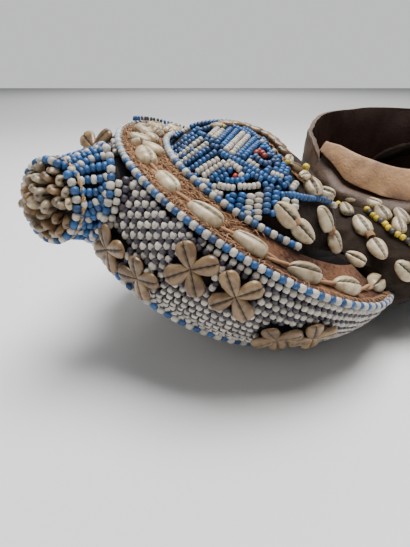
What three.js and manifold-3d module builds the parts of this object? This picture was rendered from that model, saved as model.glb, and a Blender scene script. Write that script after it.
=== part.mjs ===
// A Mwaash aMbooy helmet mask of beadwork, cowries, felt and hide, lying at rest on its beaded bonnet.
// Units are millimetres, +Z is up, and the part stands on Z = 0 below the middle of its own box.
import * as THREE from "three";
import { mergeVertices } from "three/addons/utils/BufferGeometryUtils.js";
import Module from "manifold-3d";

const wasm = await Module();
wasm.setup();

// The bonnet's rim plane, as three turns in degrees, and how high the rim's centre lies above the surface.
const RIM_TILT = 28.42;
const RIM_HEADING = -9.78;
const CROWN_TURN = -142.12;
const RIM_CENTRE_HEIGHT = 91;

// The beaded bonnet: a hollow bowl that hangs below its rim and leans towards the trunk.
const RIM_RADIUS = 120;
const BONNET_DEPTH = 92;
const BONNET_FULLNESS = 2.2;
const CROWN_LEAN = 26;
const SIDE_LEAN = -12;
const CROWN_BULGE = 0.1;
const BONNET_WALL = 14;

// The woven band that closes the bonnet's rim, and the strings sewn along its two edges.
const BAND_OUTER_RADIUS = 115.8;
const BAND_INNER_RADIUS = 84;
const BAND_INNER_CENTRE = [4, 2];
const BAND_DIP = { inward: 0.45, height: 1.2 };
const BAND_RISE = 7;
const BAND_THICKNESS = 3;
const BEAD_RADIUS = 2.35;
const CORD_RADIUS = 1.8;
const BAND_DIP_RADIUS = BAND_OUTER_RADIUS + (BAND_INNER_RADIUS - BAND_OUTER_RADIUS) * BAND_DIP.inward;
const RIM_COWRIE_RADIUS = 104.5;

// The helmet is two egg forms run together: the beaded dome in the rim, and the body below the collar.
const DOME_CENTRE = [15, 2, 4];
const DOME_SEMI_AXES = [66.5, 76.5, 44];
const BODY_CENTRE = [100, 45, -42];
const BODY_SEMI_AXES = [122, 94, 46];
const BODY_SAG = 4.5;
const BODY_HEADING = 29.9;
const JAW_CENTRE = [165, 82, -22];
const JAW_SEMI_AXES = [58, 70, 66];
const HELMET_WALL = 5;
const PASSAGE_CENTRE = [62, 24, -26];
const PASSAGE_SEMI_AXES = [100, 56, 42];
const FIT_GAP = 0.35;

// The hide collar that stands round the neck opening, with its near side folded outwards.
const COLLAR_CENTRE = [125, 76];
const COLLAR_SEMI_AXES = [71, 62];
const COLLAR_THICKNESS = 3.2;
const COLLAR_NEAR_TOP = 24;
const COLLAR_FAR_TOP = 63;
const COLLAR_FOLD = 19;
const COLLAR_FLARE = 24;

// The short trunk stub, its rings and the cluster of cowries on its end.
const TRUNK_BASE = { centre: [129, 1, -25], facing: [0.99, -0.03, -0.09], radius: 26.8 };
const TRUNK_END = { centre: [155.5, 6.5, -35.5], facing: [0.88, 0.47, -0.06], radius: 20.5 };
const TRUNK_WAIST_RADIUS = 21.5;
const TRUNK_ROOT = { depth: 10, radius: 20 };

// A cowrie of the size sewn on most of the mask, lying on its back with its slot up.
const COWRIE = { length: 22, width: 15, height: 10 };
const SMALL_COWRIE = { length: 18, width: 12, height: 8 };
const TRUNK_COWRIE = { length: 15, width: 8.5, height: 8 };
const ROSETTE_COWRIE = { length: 14.5, width: 10, height: 6 };

// Where the cowries sit on the band, in degrees round the rim from the crown.
const RIM_COWRIE_ANGLES = [-66, -50, -34, -18, -2, 16, 33.5, 51, 70, 91, 117];

// Rosettes on the bonnet: angle from the crown, drop below the rim, and a turn of the petals.
const ROSETTES = [
  { angle: -23.5, drop: 17, turn: 10 },
  { angle: 19.5, drop: 43, turn: 38 },
  { angle: 31.5, drop: 42.5, turn: 28 },
  { angle: 41, drop: 16, turn: 51 },
  { angle: 54, drop: 16.5, turn: 48 },
  { angle: 74, drop: 34, turn: 54 },
  { angle: 84.5, drop: 25, turn: 46 },
  { angle: -60, drop: 34, turn: 0 },
];
const UNDER_STRING_DROP = 63;

// Rings round the trunk, by their share of the way from its base to its end.
const TRUNK_RINGS = [
  { name: "trunk_base_ring", share: 0, radius: 29.6, thickness: 2.3, finish: "blueBead" },
  { name: "trunk_straw_cord", share: 0.76, radius: 23.3, thickness: 1.3, finish: "raffia" },
  { name: "trunk_end_ring", share: 0.97, radius: 23.3, thickness: 2.3, finish: "blueBead" },
];
const TRUNK_COWRIE_RINGS = [
  { count: 9, radius: 16.5, splay: 34, rise: 0.5 },
  { count: 5, radius: 8, splay: 16, rise: 2 },
  { count: 1, radius: 0.5, splay: 4, rise: 3 },
];
const BORDER_COWRIE_COUNT = 13;

// Pairs of cowries on the felt, each as two spots by azimuth and elevation on the dome or the body.
const DOME_PAIRS = [
  [[66, 26.5], [79, 20.5]],
  [[96, 34], [111, 18]],
];
const BODY_PAIRS = [
  [[-133, 46], [-125, 29]],
  [[-115, 13], [-107, -3]],
  [[-92, 12], [-88, -14]],
  [[92, -2], [90, -24]],
  [[64, -8], [62, -30]],
];

// The face: half its height and width, its drop, and the lumps of brow, nose, lips and chin upside down.
const FACE_SEMI_AXES = [44, 50];
const FACE_THICKNESS = 4;
const FACE_DROP = -6;
const FACE_FEATURES = [
  { place: [56, 0, -10], size: [14, 8, 20] },
  { place: [52, 0, -30], size: [9, 34, 5] },
  { place: [56, 0, 14], size: [8, 15, 5] },
  { place: [50, 0, 27], size: [8, 14, 8] },
];

// The bead panel: how far to the crown its back edge lies, and the height and slope of its lower edge.
const PANEL_BACK_EDGE = 28;
const PANEL_THICKNESS = 3;
const PANEL_FOOT = 54;
const PANEL_FOOT_SLOPE = 0.7;

const RADIANS = Math.PI / 180;

const material = (name, color, roughness) =>
  new THREE.MeshStandardMaterial({ name, color, roughness, metalness: 0 });
const materials = {
  beadwork: material("beadwork", 0x8f93a3, 0.35),
  blueBead: material("blue_bead", 0x2f6fb5, 0.3),
  yellowBead: material("yellow_bead", 0xd9c21f, 0.3),
  cowrie: material("cowrie", 0xd8c7a4, 0.3),
  raffia: material("raffia", 0x8a6038, 0.9),
  felt: material("felt", 0x43352d, 0.95),
  hide: material("hide", 0x6b5848, 0.7),
};

// Turns a closed geometry into a solid, facing out.
function solid(geometry, matrix = new THREE.Matrix4()) {
  const bare = new THREE.BufferGeometry();
  bare.setAttribute("position", geometry.getAttribute("position").clone());
  if (geometry.index) bare.setIndex(geometry.index.clone());
  bare.applyMatrix4(matrix);
  const merged = mergeVertices(bare, 1e-4);
  const triVerts = new Uint32Array(merged.index.array);
  const vertProperties = new Float32Array(merged.attributes.position.array);
  const made = new wasm.Manifold(new wasm.Mesh({ numProp: 3, vertProperties, triVerts }));
  if (made.volume() > 0) return made;
  for (let i = 0; i < triVerts.length; i += 3) {
    [triVerts[i + 1], triVerts[i + 2]] = [triVerts[i + 2], triVerts[i + 1]];
  }
  return new wasm.Manifold(new wasm.Mesh({ numProp: 3, vertProperties, triVerts }));
}

// Turns a solid back into flat-shaded geometry.
function geometryOf(made) {
  const { vertProperties, triVerts } = made.getMesh();
  const geometry = new THREE.BufferGeometry();
  geometry.setAttribute("position", new THREE.BufferAttribute(vertProperties, 3));
  geometry.setIndex(new THREE.BufferAttribute(triVerts, 1));
  const flat = geometry.toNonIndexed();
  flat.computeVertexNormals();
  return flat;
}

const fused = (pieces) => pieces.reduce((whole, piece) => whole.add(piece));

// A matrix that puts +X along `along`, +Z along `up` as nearly as it can, and the origin at `place`.
function seat(place, along, up) {
  const z = up.clone().normalize();
  const y = z.clone().cross(along).normalize();
  const x = y.clone().cross(z);
  return new THREE.Matrix4().makeBasis(x, y, z).setPosition(place);
}

const vector = ([x, y, z]) => new THREE.Vector3(x, y, z);

// The rim frame: +X to the crown and trunk, +Y to the near side, +Z out of the bonnet to the neck.
const rimTurn = new THREE.Matrix4()
  .makeRotationZ(RIM_HEADING * RADIANS)
  .multiply(new THREE.Matrix4().makeRotationY(RIM_TILT * RADIANS))
  .multiply(new THREE.Matrix4().makeRotationZ(CROWN_TURN * RADIANS));
const levelTurn = rimTurn.clone().invert();

// The body frame is level: +X along the helmet's body towards the face.
const bodyTurn = new THREE.Matrix4().makeRotationZ(BODY_HEADING * RADIANS);

// How far the bonnet swells and leans at depth share u, from 0 at the rim to 1 at its lowest.
function leanOf(point) {
  const u = THREE.MathUtils.clamp(-point.z / BONNET_DEPTH, 0, 1);
  const radius = Math.hypot(point.x, point.y);
  const crownwards = radius > 0 ? Math.max(point.x / radius, 0) : 0;
  const swell = 1 + CROWN_BULGE * crownwards * 4 * u * (1 - u);
  const inward = THREE.MathUtils.clamp(point.z / BAND_RISE, 0, 1);
  point.x = point.x * swell + CROWN_LEAN * u * u + BAND_INNER_CENTRE[0] * inward;
  point.y = point.y * swell + SIDE_LEAN * u * u + BAND_INNER_CENTRE[1] * inward;
  return point;
}

// The radius of the bonnet's outside at depth share u, for a bowl of the given rim radius.
const bowlRadius = (u, rim) => rim * Math.pow(1 - Math.pow(u, BONNET_FULLNESS), 1 / BONNET_FULLNESS);

// A point on the bonnet's outside, by its angle from the crown in degrees and its drop below the rim.
function bonnetPoint(angle, drop) {
  const radius = bowlRadius(drop / BONNET_DEPTH, RIM_RADIUS);
  const turn = angle * RADIANS;
  return leanOf(new THREE.Vector3(radius * Math.cos(turn), radius * Math.sin(turn), -drop));
}

function bonnetNormal(angle, drop) {
  const across = bonnetPoint(angle + 1, drop).sub(bonnetPoint(angle - 1, drop));
  const down = bonnetPoint(angle, drop + 1).sub(bonnetPoint(angle, drop - 1));
  return down.cross(across).normalize();
}

// A turned bowl outline, from the axis at the bottom to the rim, then inwards by the given points.
function bowl(rim, depth, lip, sides, steps = 7) {
  const outline = [];
  for (let i = 0; i <= steps; i++) {
    const u = Math.cos((i / steps) * (Math.PI / 2));
    outline.push(new THREE.Vector2(i === 0 ? 0 : bowlRadius(u, rim), i === steps ? 0 : -depth * u));
  }
  lip.forEach(([radius, height]) => outline.push(new THREE.Vector2(radius, height)));
  const turned = new THREE.LatheGeometry(outline, sides);
  turned.rotateX(Math.PI / 2);
  const place = turned.getAttribute("position");
  const point = new THREE.Vector3();
  for (let i = 0; i < place.count; i++) {
    leanOf(point.fromBufferAttribute(place, i));
    place.setXYZ(i, point.x, point.y, point.z);
  }
  return solid(turned);
}

// A closed ring of any section: pointAt(side, step) gives each vertex.
function ring(sides, steps, pointAt) {
  const geometry = new THREE.TorusGeometry(10, 1, sides, steps);
  const place = geometry.getAttribute("position");
  for (let side = 0; side <= sides; side++) {
    for (let step = 0; step <= steps; step++) {
      const point = pointAt(side % sides, step % steps);
      place.setXYZ(side * (steps + 1) + step, point.x, point.y, point.z);
    }
  }
  return solid(geometry);
}

// A round string of the given thickness along a closed path.
function string(path, thickness, sides, steps) {
  return ring(sides, steps, (side, step) => {
    const here = path(step / steps);
    const along = path((step + 0.5) / steps).sub(path((step - 0.5) / steps));
    const out = along.clone().cross(new THREE.Vector3(0, 0, 1)).normalize();
    const over = out.clone().cross(along).normalize();
    const turn = ((side + 0.5) / sides) * Math.PI * 2;
    here.addScaledVector(out, thickness * Math.cos(turn));
    return here.addScaledVector(over, thickness * Math.sin(turn));
  });
}

const circle = (radius, height) => (share) =>
  new THREE.Vector3(
    radius * Math.cos(share * Math.PI * 2),
    radius * Math.sin(share * Math.PI * 2),
    height,
  );

// A point on the band: 0 to 1 inwards across it, by its angle from the crown in degrees.
function bandPoint(inward, angle, height) {
  const radius = THREE.MathUtils.lerp(BAND_OUTER_RADIUS, BAND_INNER_RADIUS, inward);
  return new THREE.Vector3(
    radius * Math.cos(angle * RADIANS) + BAND_INNER_CENTRE[0] * inward,
    radius * Math.sin(angle * RADIANS) + BAND_INNER_CENTRE[1] * inward,
    height,
  );
}

// An egg form: a sphere stretched to its semi-axes, grown or shrunk by an offset, its underside `sag` deeper.
function egg(centre, semiAxes, turn, offset, sides = 16, sag = 0) {
  const geometry = new THREE.SphereGeometry(1, sides, sides / 2);
  geometry.rotateX(Math.PI / 2);
  geometry.scale(...semiAxes.map((semiAxis) => semiAxis + offset));
  const place = geometry.getAttribute("position");
  for (let i = 0; i < place.count; i++) {
    place.setZ(i, place.getZ(i) * (place.getZ(i) < 0 ? 1 + sag / semiAxes[2] : 1));
  }
  geometry.applyMatrix4(turn);
  geometry.translate(...centre);
  return solid(geometry);
}

// The body and collar are set out level, about the rim's centre, and turned into the rim frame.
const levelled = (made) => made.transform(levelTurn.elements);
const domeEgg = (offset, sides) => egg(DOME_CENTRE, DOME_SEMI_AXES, new THREE.Matrix4(), offset, sides);
const bodyEgg = (offset, sides) =>
  levelled(egg(BODY_CENTRE, BODY_SEMI_AXES, bodyTurn, offset, sides, BODY_SAG));
const jawEgg = (offset, sides) => levelled(egg(JAW_CENTRE, JAW_SEMI_AXES, bodyTurn, offset, sides));
const helmetForm = (offset, sides) =>
  fused([domeEgg(offset, sides), bodyEgg(offset, sides), jawEgg(offset, sides)]);
const passageEgg = () => levelled(egg(PASSAGE_CENTRE, PASSAGE_SEMI_AXES, bodyTurn, 0, 16));

// A box given level, by its lowest and highest corners about the rim's centre.
function levelBox(low, high) {
  const size = high.map((value, i) => value - low[i]);
  const box = new THREE.BoxGeometry(...size);
  box.translate(...low.map((value, i) => value + size[i] / 2));
  return levelled(solid(box));
}

// What lies under the surface that the mask rests on.
const belowRest = (gap = 0) => levelBox([-400, -400, -400], [400, 400, gap - RIM_CENTRE_HEIGHT]);

// A cowrie with its flat back on Z = 0, long along X: a sphere drawn to points, slotted along its top.
function cowrieGeometry({ length, width, height }, sides, rings) {
  const shell = new THREE.SphereGeometry(1, sides, rings);
  shell.rotateZ(Math.PI / 2);
  const place = shell.getAttribute("position");
  for (let i = 0; i < place.count; i++) {
    const y = place.getY(i);
    const z = place.getZ(i);
    const onSlot = z > 0.5 && Math.abs(y) < 0.1;
    const back = z < 0 ? 0.45 : 1;
    const lift = onSlot ? 0.74 : 1.12;
    place.setXYZ(
      i,
      (place.getX(i) * length) / 2,
      (y * width) / 2,
      z < 0 ? ((z * back + 0.45) * height) / 1.45 : ((z * lift + 0.45) * height) / 1.45,
    );
  }
  return shell;
}

const cowrieShell = (size, matrix, sides = 6, rings = 3) =>
  solid(cowrieGeometry(size, sides, rings), matrix);

// Four cowries laid as petals about a small stud, on the bonnet's outside.
function rosette(angle, drop, turn, size) {
  const up = bonnetNormal(angle, drop);
  const centre = bonnetPoint(angle, drop).addScaledVector(up, 0.6);
  const along = bonnetPoint(angle + 1, drop).sub(bonnetPoint(angle - 1, drop));
  const base = seat(centre, along, up);
  const petals = [];
  for (let i = 0; i < 4; i++) {
    const petal = new THREE.Matrix4()
      .makeRotationZ((turn + i * 90) * RADIANS)
      .multiply(new THREE.Matrix4().makeTranslation(size.length * 0.6, 0, 0.2))
      .multiply(new THREE.Matrix4().makeRotationY(5 * RADIANS));
    petals.push(cowrieShell(size, base.clone().multiply(petal), 6, 2));
  }
  const stud = new THREE.CylinderGeometry(3.2, 3.2, 3, 5).rotateX(Math.PI / 2).translate(0, 0, 1.8);
  petals.push(solid(stud, base));
  return fused(petals);
}

const group = new THREE.Group();
const rimFrame = new THREE.Group();
rimFrame.applyMatrix4(rimTurn);
group.add(rimFrame);

function piece(name, made, finish) {
  const mesh = new THREE.Mesh(geometryOf(made), finish);
  mesh.name = name;
  rimFrame.add(mesh);
}

// The helmet's outside and inside, and the whole of the bonnet grown by the gap between neighbours.
const helmetOutside = helmetForm(0);
const helmetGrown = helmetForm(FIT_GAP);
const helmetInside = helmetForm(-HELMET_WALL, 12);
const bonnetLip = (lift, reach) => [
  [BAND_OUTER_RADIUS + reach, 0.2 + lift],
  [BAND_DIP_RADIUS, BAND_DIP.height + lift],
  [BAND_INNER_RADIUS - reach / 2, BAND_RISE + lift],
  [0, BAND_RISE + lift],
];
const bonnetSolid = bowl(RIM_RADIUS, BONNET_DEPTH, bonnetLip(0, 0), 32);
const bandClear = BAND_THICKNESS + 2 * FIT_GAP;
const bonnetGrown = bowl(RIM_RADIUS + FIT_GAP, BONNET_DEPTH + FIT_GAP, bonnetLip(bandClear, 2), 32);

// A level shaft within the collar's outline, grown by an offset.
const collarShaft = (offset, low, high) => {
  const shaft = new THREE.CylinderGeometry(1, 1, high - low, 16).rotateX(Math.PI / 2);
  shaft.scale(COLLAR_SEMI_AXES[0] + offset, COLLAR_SEMI_AXES[1] + offset, 1);
  return levelled(solid(shaft.translate(...COLLAR_CENTRE, (low + high) / 2)));
};

// Where the collar and the strings at its foot keep the bonnet's own strings off.
const collarReach = collarShaft(10, -60, 80);
const footReach = collarShaft(22, -60, 25);

// The bonnet: a bowl with an inward lip, open to the helmet and cut through where the head goes in.
function bonnet() {
  const flange = 5;
  const hollow = bowl(RIM_RADIUS - BONNET_WALL, BONNET_DEPTH - BONNET_WALL, [
    [BAND_INNER_RADIUS - 1, BAND_RISE - flange],
    [BAND_INNER_RADIUS - 1, BAND_RISE + 10],
    [0, BAND_RISE + 10],
  ], 18, 5);
  return bonnetSolid.subtract(hollow).subtract(passageEgg()).subtract(belowRest());
}
piece("beaded_bonnet", bonnet(), materials.beadwork);

// The woven band on the bonnet's lip, broken where the helmet's body crosses it.
function rearBand() {
  const under = [[0, 0.2], [BAND_DIP.inward, BAND_DIP.height], [1, BAND_RISE]];
  const over = under.map(([inward, height]) => [inward, height + BAND_THICKNESS]).reverse();
  const section = [...under, ...over];
  const made = ring(section.length, 32, (side, step) => {
    const [inward, height] = section[side];
    return bandPoint(inward, (step / 32) * 360, height + FIT_GAP);
  });
  return made.subtract(helmetGrown).subtract(passageEgg());
}
piece("rear_band", rearBand(), materials.raffia);

// Strings of beads along the bonnet's edge and along the band's inner edge.
const edgeString = string(circle(RIM_RADIUS - 1.4, BEAD_RADIUS + 0.4), BEAD_RADIUS, 4, 32);
piece("edge_bead_string", edgeString.subtract(helmetGrown), materials.blueBead);
const innerStringHeight = BAND_RISE + BAND_THICKNESS + BEAD_RADIUS + 2 * FIT_GAP;
const innerStringPath = (share) => bandPoint(1, share * 360, innerStringHeight);
const innerString = string(innerStringPath, BEAD_RADIUS, 4, 36);
piece("inner_bead_string", innerString.subtract(helmetGrown).subtract(collarReach), materials.blueBead);

// A row of cowries on a cord, laid end to end along the band.
function rimCowrieString() {
  const height = BAND_DIP.height + bandClear + CORD_RADIUS;
  const cord = string(circle(RIM_COWRIE_RADIUS, height), CORD_RADIUS, 4, 24);
  const tilt = -6 * RADIANS;
  const cowries = RIM_COWRIE_ANGLES.map((angle) => {
    const turn = angle * RADIANS;
    const out = new THREE.Vector3(Math.cos(turn), Math.sin(turn), 0);
    const up = new THREE.Vector3(0, 0, Math.cos(tilt)).addScaledVector(out, -Math.sin(tilt));
    const along = new THREE.Vector3(-Math.sin(turn), Math.cos(turn), 0);
    const place = out.multiplyScalar(RIM_COWRIE_RADIUS).setZ(height - CORD_RADIUS + 0.6);
    return cowrieShell(COWRIE, seat(place, along, up));
  });
  return fused([cord, ...cowries]).subtract(helmetGrown).subtract(collarReach).subtract(footReach);
}
piece("rim_cowrie_string", rimCowrieString(), materials.cowrie);

// Rosettes of four cowries on the bonnet's outside.
ROSETTES.forEach(({ angle, drop, turn }, i) => {
  const made = rosette(angle, drop, turn, ROSETTE_COWRIE).subtract(belowRest());
  piece(`cowrie_rosette_${i + 1}`, made, materials.cowrie);
});

// The string of larger beads that circles the underside of the bonnet.
const underString = string(
  (share) => {
    const angle = share * 360;
    const out = bonnetNormal(angle, UNDER_STRING_DROP);
    return bonnetPoint(angle, UNDER_STRING_DROP).addScaledVector(out, BEAD_RADIUS + FIT_GAP);
  },
  BEAD_RADIUS,
  4,
  24,
);
piece("under_bead_string", underString.subtract(belowRest(0.3)), materials.blueBead);

// The trunk stub bends as it goes: its frame at a share of the way, and behind its base, inside the bonnet.
function trunkFrame(share) {
  const bend = THREE.MathUtils.clamp(share, 0, 1);
  const facing = vector(TRUNK_BASE.facing).lerp(vector(TRUNK_END.facing), bend).normalize();
  const centre = vector(TRUNK_BASE.centre).lerp(vector(TRUNK_END.centre), bend);
  centre.addScaledVector(facing, Math.min(share, 0) * TRUNK_ROOT.depth);
  return seat(centre, new THREE.Vector3(0, 0, 1), facing);
}
function trunkRadius(share) {
  if (share < 0) return THREE.MathUtils.lerp(TRUNK_BASE.radius, TRUNK_ROOT.radius, -share);
  const waist = 0.6;
  if (share < waist) return THREE.MathUtils.lerp(TRUNK_BASE.radius, TRUNK_WAIST_RADIUS, share / waist);
  return THREE.MathUtils.lerp(TRUNK_WAIST_RADIUS, TRUNK_END.radius, (share - waist) / (1 - waist));
}
function trunkCore() {
  const shares = [-1, 0, 0.25, 0.6, 1];
  const core = new THREE.CylinderGeometry(1, 1, shares.length - 1, 16, shares.length - 1);
  core.rotateX(Math.PI / 2);
  const place = core.getAttribute("position");
  for (let i = 0; i < place.count; i++) {
    const share = shares[Math.round(place.getZ(i) + (shares.length - 1) / 2)];
    const radius = trunkRadius(share);
    const point = new THREE.Vector3(place.getX(i) * radius, place.getY(i) * radius, 0);
    point.applyMatrix4(trunkFrame(share));
    place.setXYZ(i, point.x, point.y, point.z);
  }
  return solid(core);
}
piece("trunk_stub", trunkCore().subtract(bonnetGrown), materials.blueBead);

TRUNK_RINGS.forEach(({ name, share, radius, thickness, finish }) => {
  const made = solid(new THREE.TorusGeometry(radius, thickness, 4, 16), trunkFrame(share));
  piece(name, made, materials[finish]);
});

function trunkCowries() {
  const end = trunkFrame(1);
  const core = new THREE.SphereGeometry(1, 8, 4).rotateX(Math.PI / 2).scale(18, 18, 8);
  const parts = [solid(core.translate(0, 0, 3), end)];
  TRUNK_COWRIE_RINGS.forEach(({ count, radius, splay, rise }) => {
    const [lean, upright] = [Math.sin(splay * RADIANS), Math.cos(splay * RADIANS)];
    for (let i = 0; i < count; i++) {
      const turn = ((i + radius / 20) / count) * Math.PI * 2;
      const out = new THREE.Vector3(Math.cos(turn), Math.sin(turn), 0);
      const along = out.clone().multiplyScalar(lean).setZ(upright);
      const up = out.clone().multiplyScalar(upright).setZ(-lean);
      const place = out.multiplyScalar(radius).setZ(rise + TRUNK_COWRIE.length / 2);
      parts.push(cowrieShell(TRUNK_COWRIE, end.clone().multiply(seat(place, along, up)), 5, 2));
    }
  });
  const behind = new THREE.CylinderGeometry(60, 60, 30, 12).rotateX(Math.PI / 2);
  return fused(parts).subtract(solid(behind.translate(0, 0, FIT_GAP - 15), end));
}
piece("trunk_cowries", trunkCowries(), materials.cowrie);

// The felt-covered helmet: a hollow shell that sits on the band and opens into the collar and bonnet.
function helmetShell() {
  const opening = collarShaft(-COLLAR_THICKNESS - 4, -40, 80);
  const shell = helmetOutside.subtract(helmetInside).subtract(bonnetGrown);
  return shell.subtract(opening).subtract(innerString).subtract(belowRest());
}
piece("helmet_shell", helmetShell(), materials.felt);

// The side of the dome that the panel covers: over its sloping lower edge and crownwards of its back edge.
function panelRegion(growth) {
  const crownwards = new THREE.BoxGeometry(100, 300, 200).translate(PANEL_BACK_EDGE - growth + 50, 0, 0);
  const above = new THREE.BoxGeometry(400, 300, 100).translate(0, 0, 50 - growth);
  above.rotateY(Math.atan(PANEL_FOOT_SLOPE)).translate(0, 0, PANEL_FOOT);
  return solid(crownwards).intersect(solid(above));
}

// The bead panel over the crown side of the dome.
function interlacePanel() {
  const skin = domeEgg(FIT_GAP + PANEL_THICKNESS).subtract(domeEgg(FIT_GAP));
  return skin.intersect(panelRegion(0)).subtract(bodyEgg(FIT_GAP)).subtract(bonnetGrown);
}
piece("interlace_panel", interlacePanel(), materials.blueBead);
const panelGrown = domeEgg(PANEL_THICKNESS + 2 * FIT_GAP).intersect(panelRegion(FIT_GAP));

// How near to the near side an angle round the collar is, from 0 to 1.
const nearness = (turn, power) => Math.pow((1 - Math.sin(turn + 0.2)) / 2, power);
const collarTop = (turn) => THREE.MathUtils.lerp(COLLAR_FAR_TOP, COLLAR_NEAR_TOP, nearness(turn, 1.3));
const collarFlare = (turn) => COLLAR_FLARE * nearness(turn, 3);

// A level place round the collar, out from its middle line by an offset.
function collarPlan(turn, offset) {
  const x = COLLAR_CENTRE[0] + (COLLAR_SEMI_AXES[0] + offset) * Math.cos(turn);
  const y = COLLAR_CENTRE[1] + (COLLAR_SEMI_AXES[1] + offset) * Math.sin(turn);
  return [x, y];
}

// The collar: a standing wall of hide, flared at its near foot, with its free edge folded out and down.
function neckCollar() {
  const half = COLLAR_THICKNESS / 2;
  const footing = -45;
  const steps = 18;
  const made = ring(9, steps, (side, step) => {
    const turn = (step / steps) * Math.PI * 2;
    const top = collarTop(turn);
    const flare = collarFlare(turn);
    const fold = 0.06 + 0.94 * nearness(turn, 2);
    const drop = COLLAR_FOLD * fold;
    const [offset, height] = [
      [flare - half, footing],
      [flare - half, -6],
      [-half, top - 1],
      [half + 3 * fold, top + 1],
      [half + 4 + 9 * fold, top - drop - 1.5],
      [half + 1.5 + 9 * fold, top - drop - 2],
      [half, top - 0.25 * drop - 3],
      [flare + half, -6],
      [flare + half, footing],
    ][side];
    return new THREE.Vector3(...collarPlan(turn, offset), height);
  });
  return levelled(made).subtract(helmetGrown).subtract(bonnetGrown);
}
piece("neck_collar", neckCollar(), materials.hide);

// The height of an egg form above a level place about the rim's centre, or -Infinity beside it.
function eggTop(centre, semiAxes, turn, x, y) {
  const shrink = new THREE.Matrix4().makeScale(...semiAxes.map((semiAxis) => 1 / semiAxis));
  const inverse = shrink.multiply(turn.clone().invert());
  const from = new THREE.Vector3(x, y, 0).sub(vector(centre)).applyMatrix4(inverse);
  const rise = new THREE.Vector3(0, 0, 1).applyMatrix4(inverse);
  const [a, b, c] = [rise.dot(rise), from.dot(rise), from.dot(from) - 1];
  return b * b < a * c ? -Infinity : (Math.sqrt(b * b - a * c) - b) / a;
}

const levelDomeCentre = vector(DOME_CENTRE).applyMatrix4(rimTurn).toArray();
const helmetTop = (x, y) =>
  Math.max(
    eggTop(BODY_CENTRE, BODY_SEMI_AXES, bodyTurn, x, y),
    eggTop(levelDomeCentre, DOME_SEMI_AXES, rimTurn, x, y),
    eggTop(JAW_CENTRE, JAW_SEMI_AXES, bodyTurn, x, y),
    BODY_CENTRE[2],
  );

// The strings end at the bonnet on the far side.
const footEnd = levelBox([-100, 50, -100], [80, 300, 100]);

// Two strings round the collar's foot: a line of yellow and dark beads, and cowries on a cord outside it.
const footPath = (offset, lift) => (share) => {
  const turn = share * Math.PI * 2;
  const [x, y] = collarPlan(turn, offset + collarFlare(turn));
  return new THREE.Vector3(x, y, helmetTop(x, y) + lift);
};
const footString = (path) => {
  const whole = levelled(string(path, CORD_RADIUS, 4, 32));
  return whole.subtract(helmetGrown).subtract(footEnd);
};
piece("collar_bead_string", footString(footPath(4.9, 2.4)), materials.yellowBead);

function borderCowries() {
  const path = footPath(13, 3);
  const cowries = [];
  for (let i = 0; i < BORDER_COWRIE_COUNT; i++) {
    const share = (i + 0.5) / BORDER_COWRIE_COUNT;
    const ahead = path(share + 0.01).sub(path(share - 0.01));
    const base = seat(path(share), ahead, new THREE.Vector3(0, 0, 1));
    cowries.push(levelled(cowrieShell(SMALL_COWRIE, base, 5, 2)));
  }
  return fused([footString(path), ...cowries]).subtract(helmetGrown).subtract(footEnd);
}
piece("border_cowrie_string", borderCowries(), materials.cowrie);

// A point on an egg form and the way out there, by two angles in degrees in the egg's own frame.
function eggSpot(centre, semiAxes, turn, [azimuth, elevation]) {
  const flat = Math.cos(elevation * RADIANS);
  const unit = new THREE.Vector3(
    flat * Math.cos(azimuth * RADIANS),
    flat * Math.sin(azimuth * RADIANS),
    Math.sin(elevation * RADIANS),
  );
  const size = vector(semiAxes);
  const place = unit.clone().multiply(size).applyMatrix4(turn).add(vector(centre));
  return { place, out: unit.divide(size).applyMatrix4(turn).normalize() };
}

// Two cowries tied end to end on the felt.
function cowriePair(spots) {
  const [first, second] = spots;
  const along = second.place.clone().sub(first.place);
  const cowries = spots.map(({ place, out }) =>
    cowrieShell(COWRIE, seat(place.clone().addScaledVector(out, 0.6), along, out), 6),
  );
  const middle = first.place.clone().lerp(second.place, 0.5);
  const out = first.out.clone().add(second.out).normalize();
  const tie = new THREE.BoxGeometry(12, 4, 4);
  const seated = seat(middle.addScaledVector(out, 3.4), along, out);
  return fused([...cowries, solid(tie, seated)]);
}
const identity = new THREE.Matrix4();
DOME_PAIRS.forEach((angles, i) => {
  const spots = angles.map((pair) => eggSpot(DOME_CENTRE, DOME_SEMI_AXES, identity, pair));
  const made = cowriePair(spots).subtract(helmetGrown).subtract(panelGrown);
  piece(`cowrie_pair_${i + 1}`, made, materials.cowrie);
});
BODY_PAIRS.forEach((angles, i) => {
  const spots = angles.map((pair) => eggSpot(BODY_CENTRE, BODY_SEMI_AXES, bodyTurn, pair));
  const made = levelled(cowriePair(spots)).subtract(helmetGrown);
  piece(`cowrie_pair_${DOME_PAIRS.length + i + 1}`, made, materials.cowrie);
});

// The plain hide face on the end of the helmet, its chin up at the collar and its brow low.
function facePanel() {
  const facing = bodyTurn.clone().setPosition(...JAW_CENTRE);
  const outward = (geometry) => levelled(solid(geometry, facing));
  const oval = new THREE.CylinderGeometry(1, 1, 60, 16).rotateZ(Math.PI / 2);
  oval.scale(1, FACE_SEMI_AXES[1], FACE_SEMI_AXES[0]).translate(JAW_SEMI_AXES[0] - 12, 0, FACE_DROP);
  const skin = jawEgg(FIT_GAP + FACE_THICKNESS).intersect(outward(oval)).subtract(helmetGrown);
  const features = FACE_FEATURES.map(({ place, size }) => {
    const lump = new THREE.SphereGeometry(1, 6, 4).scale(...size).translate(...place);
    return outward(lump);
  });
  const slits = [-1, 1].map((side) =>
    outward(new THREE.BoxGeometry(40, 22, 3).translate(JAW_SEMI_AXES[0] - 4, side * 24, FACE_DROP - 12)),
  );
  const whole = fused([skin, ...features]).subtract(fused(slits)).subtract(helmetGrown);
  return whole.subtract(belowRest(0.2));
}
piece("face_panel", facePanel(), materials.hide);

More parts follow.
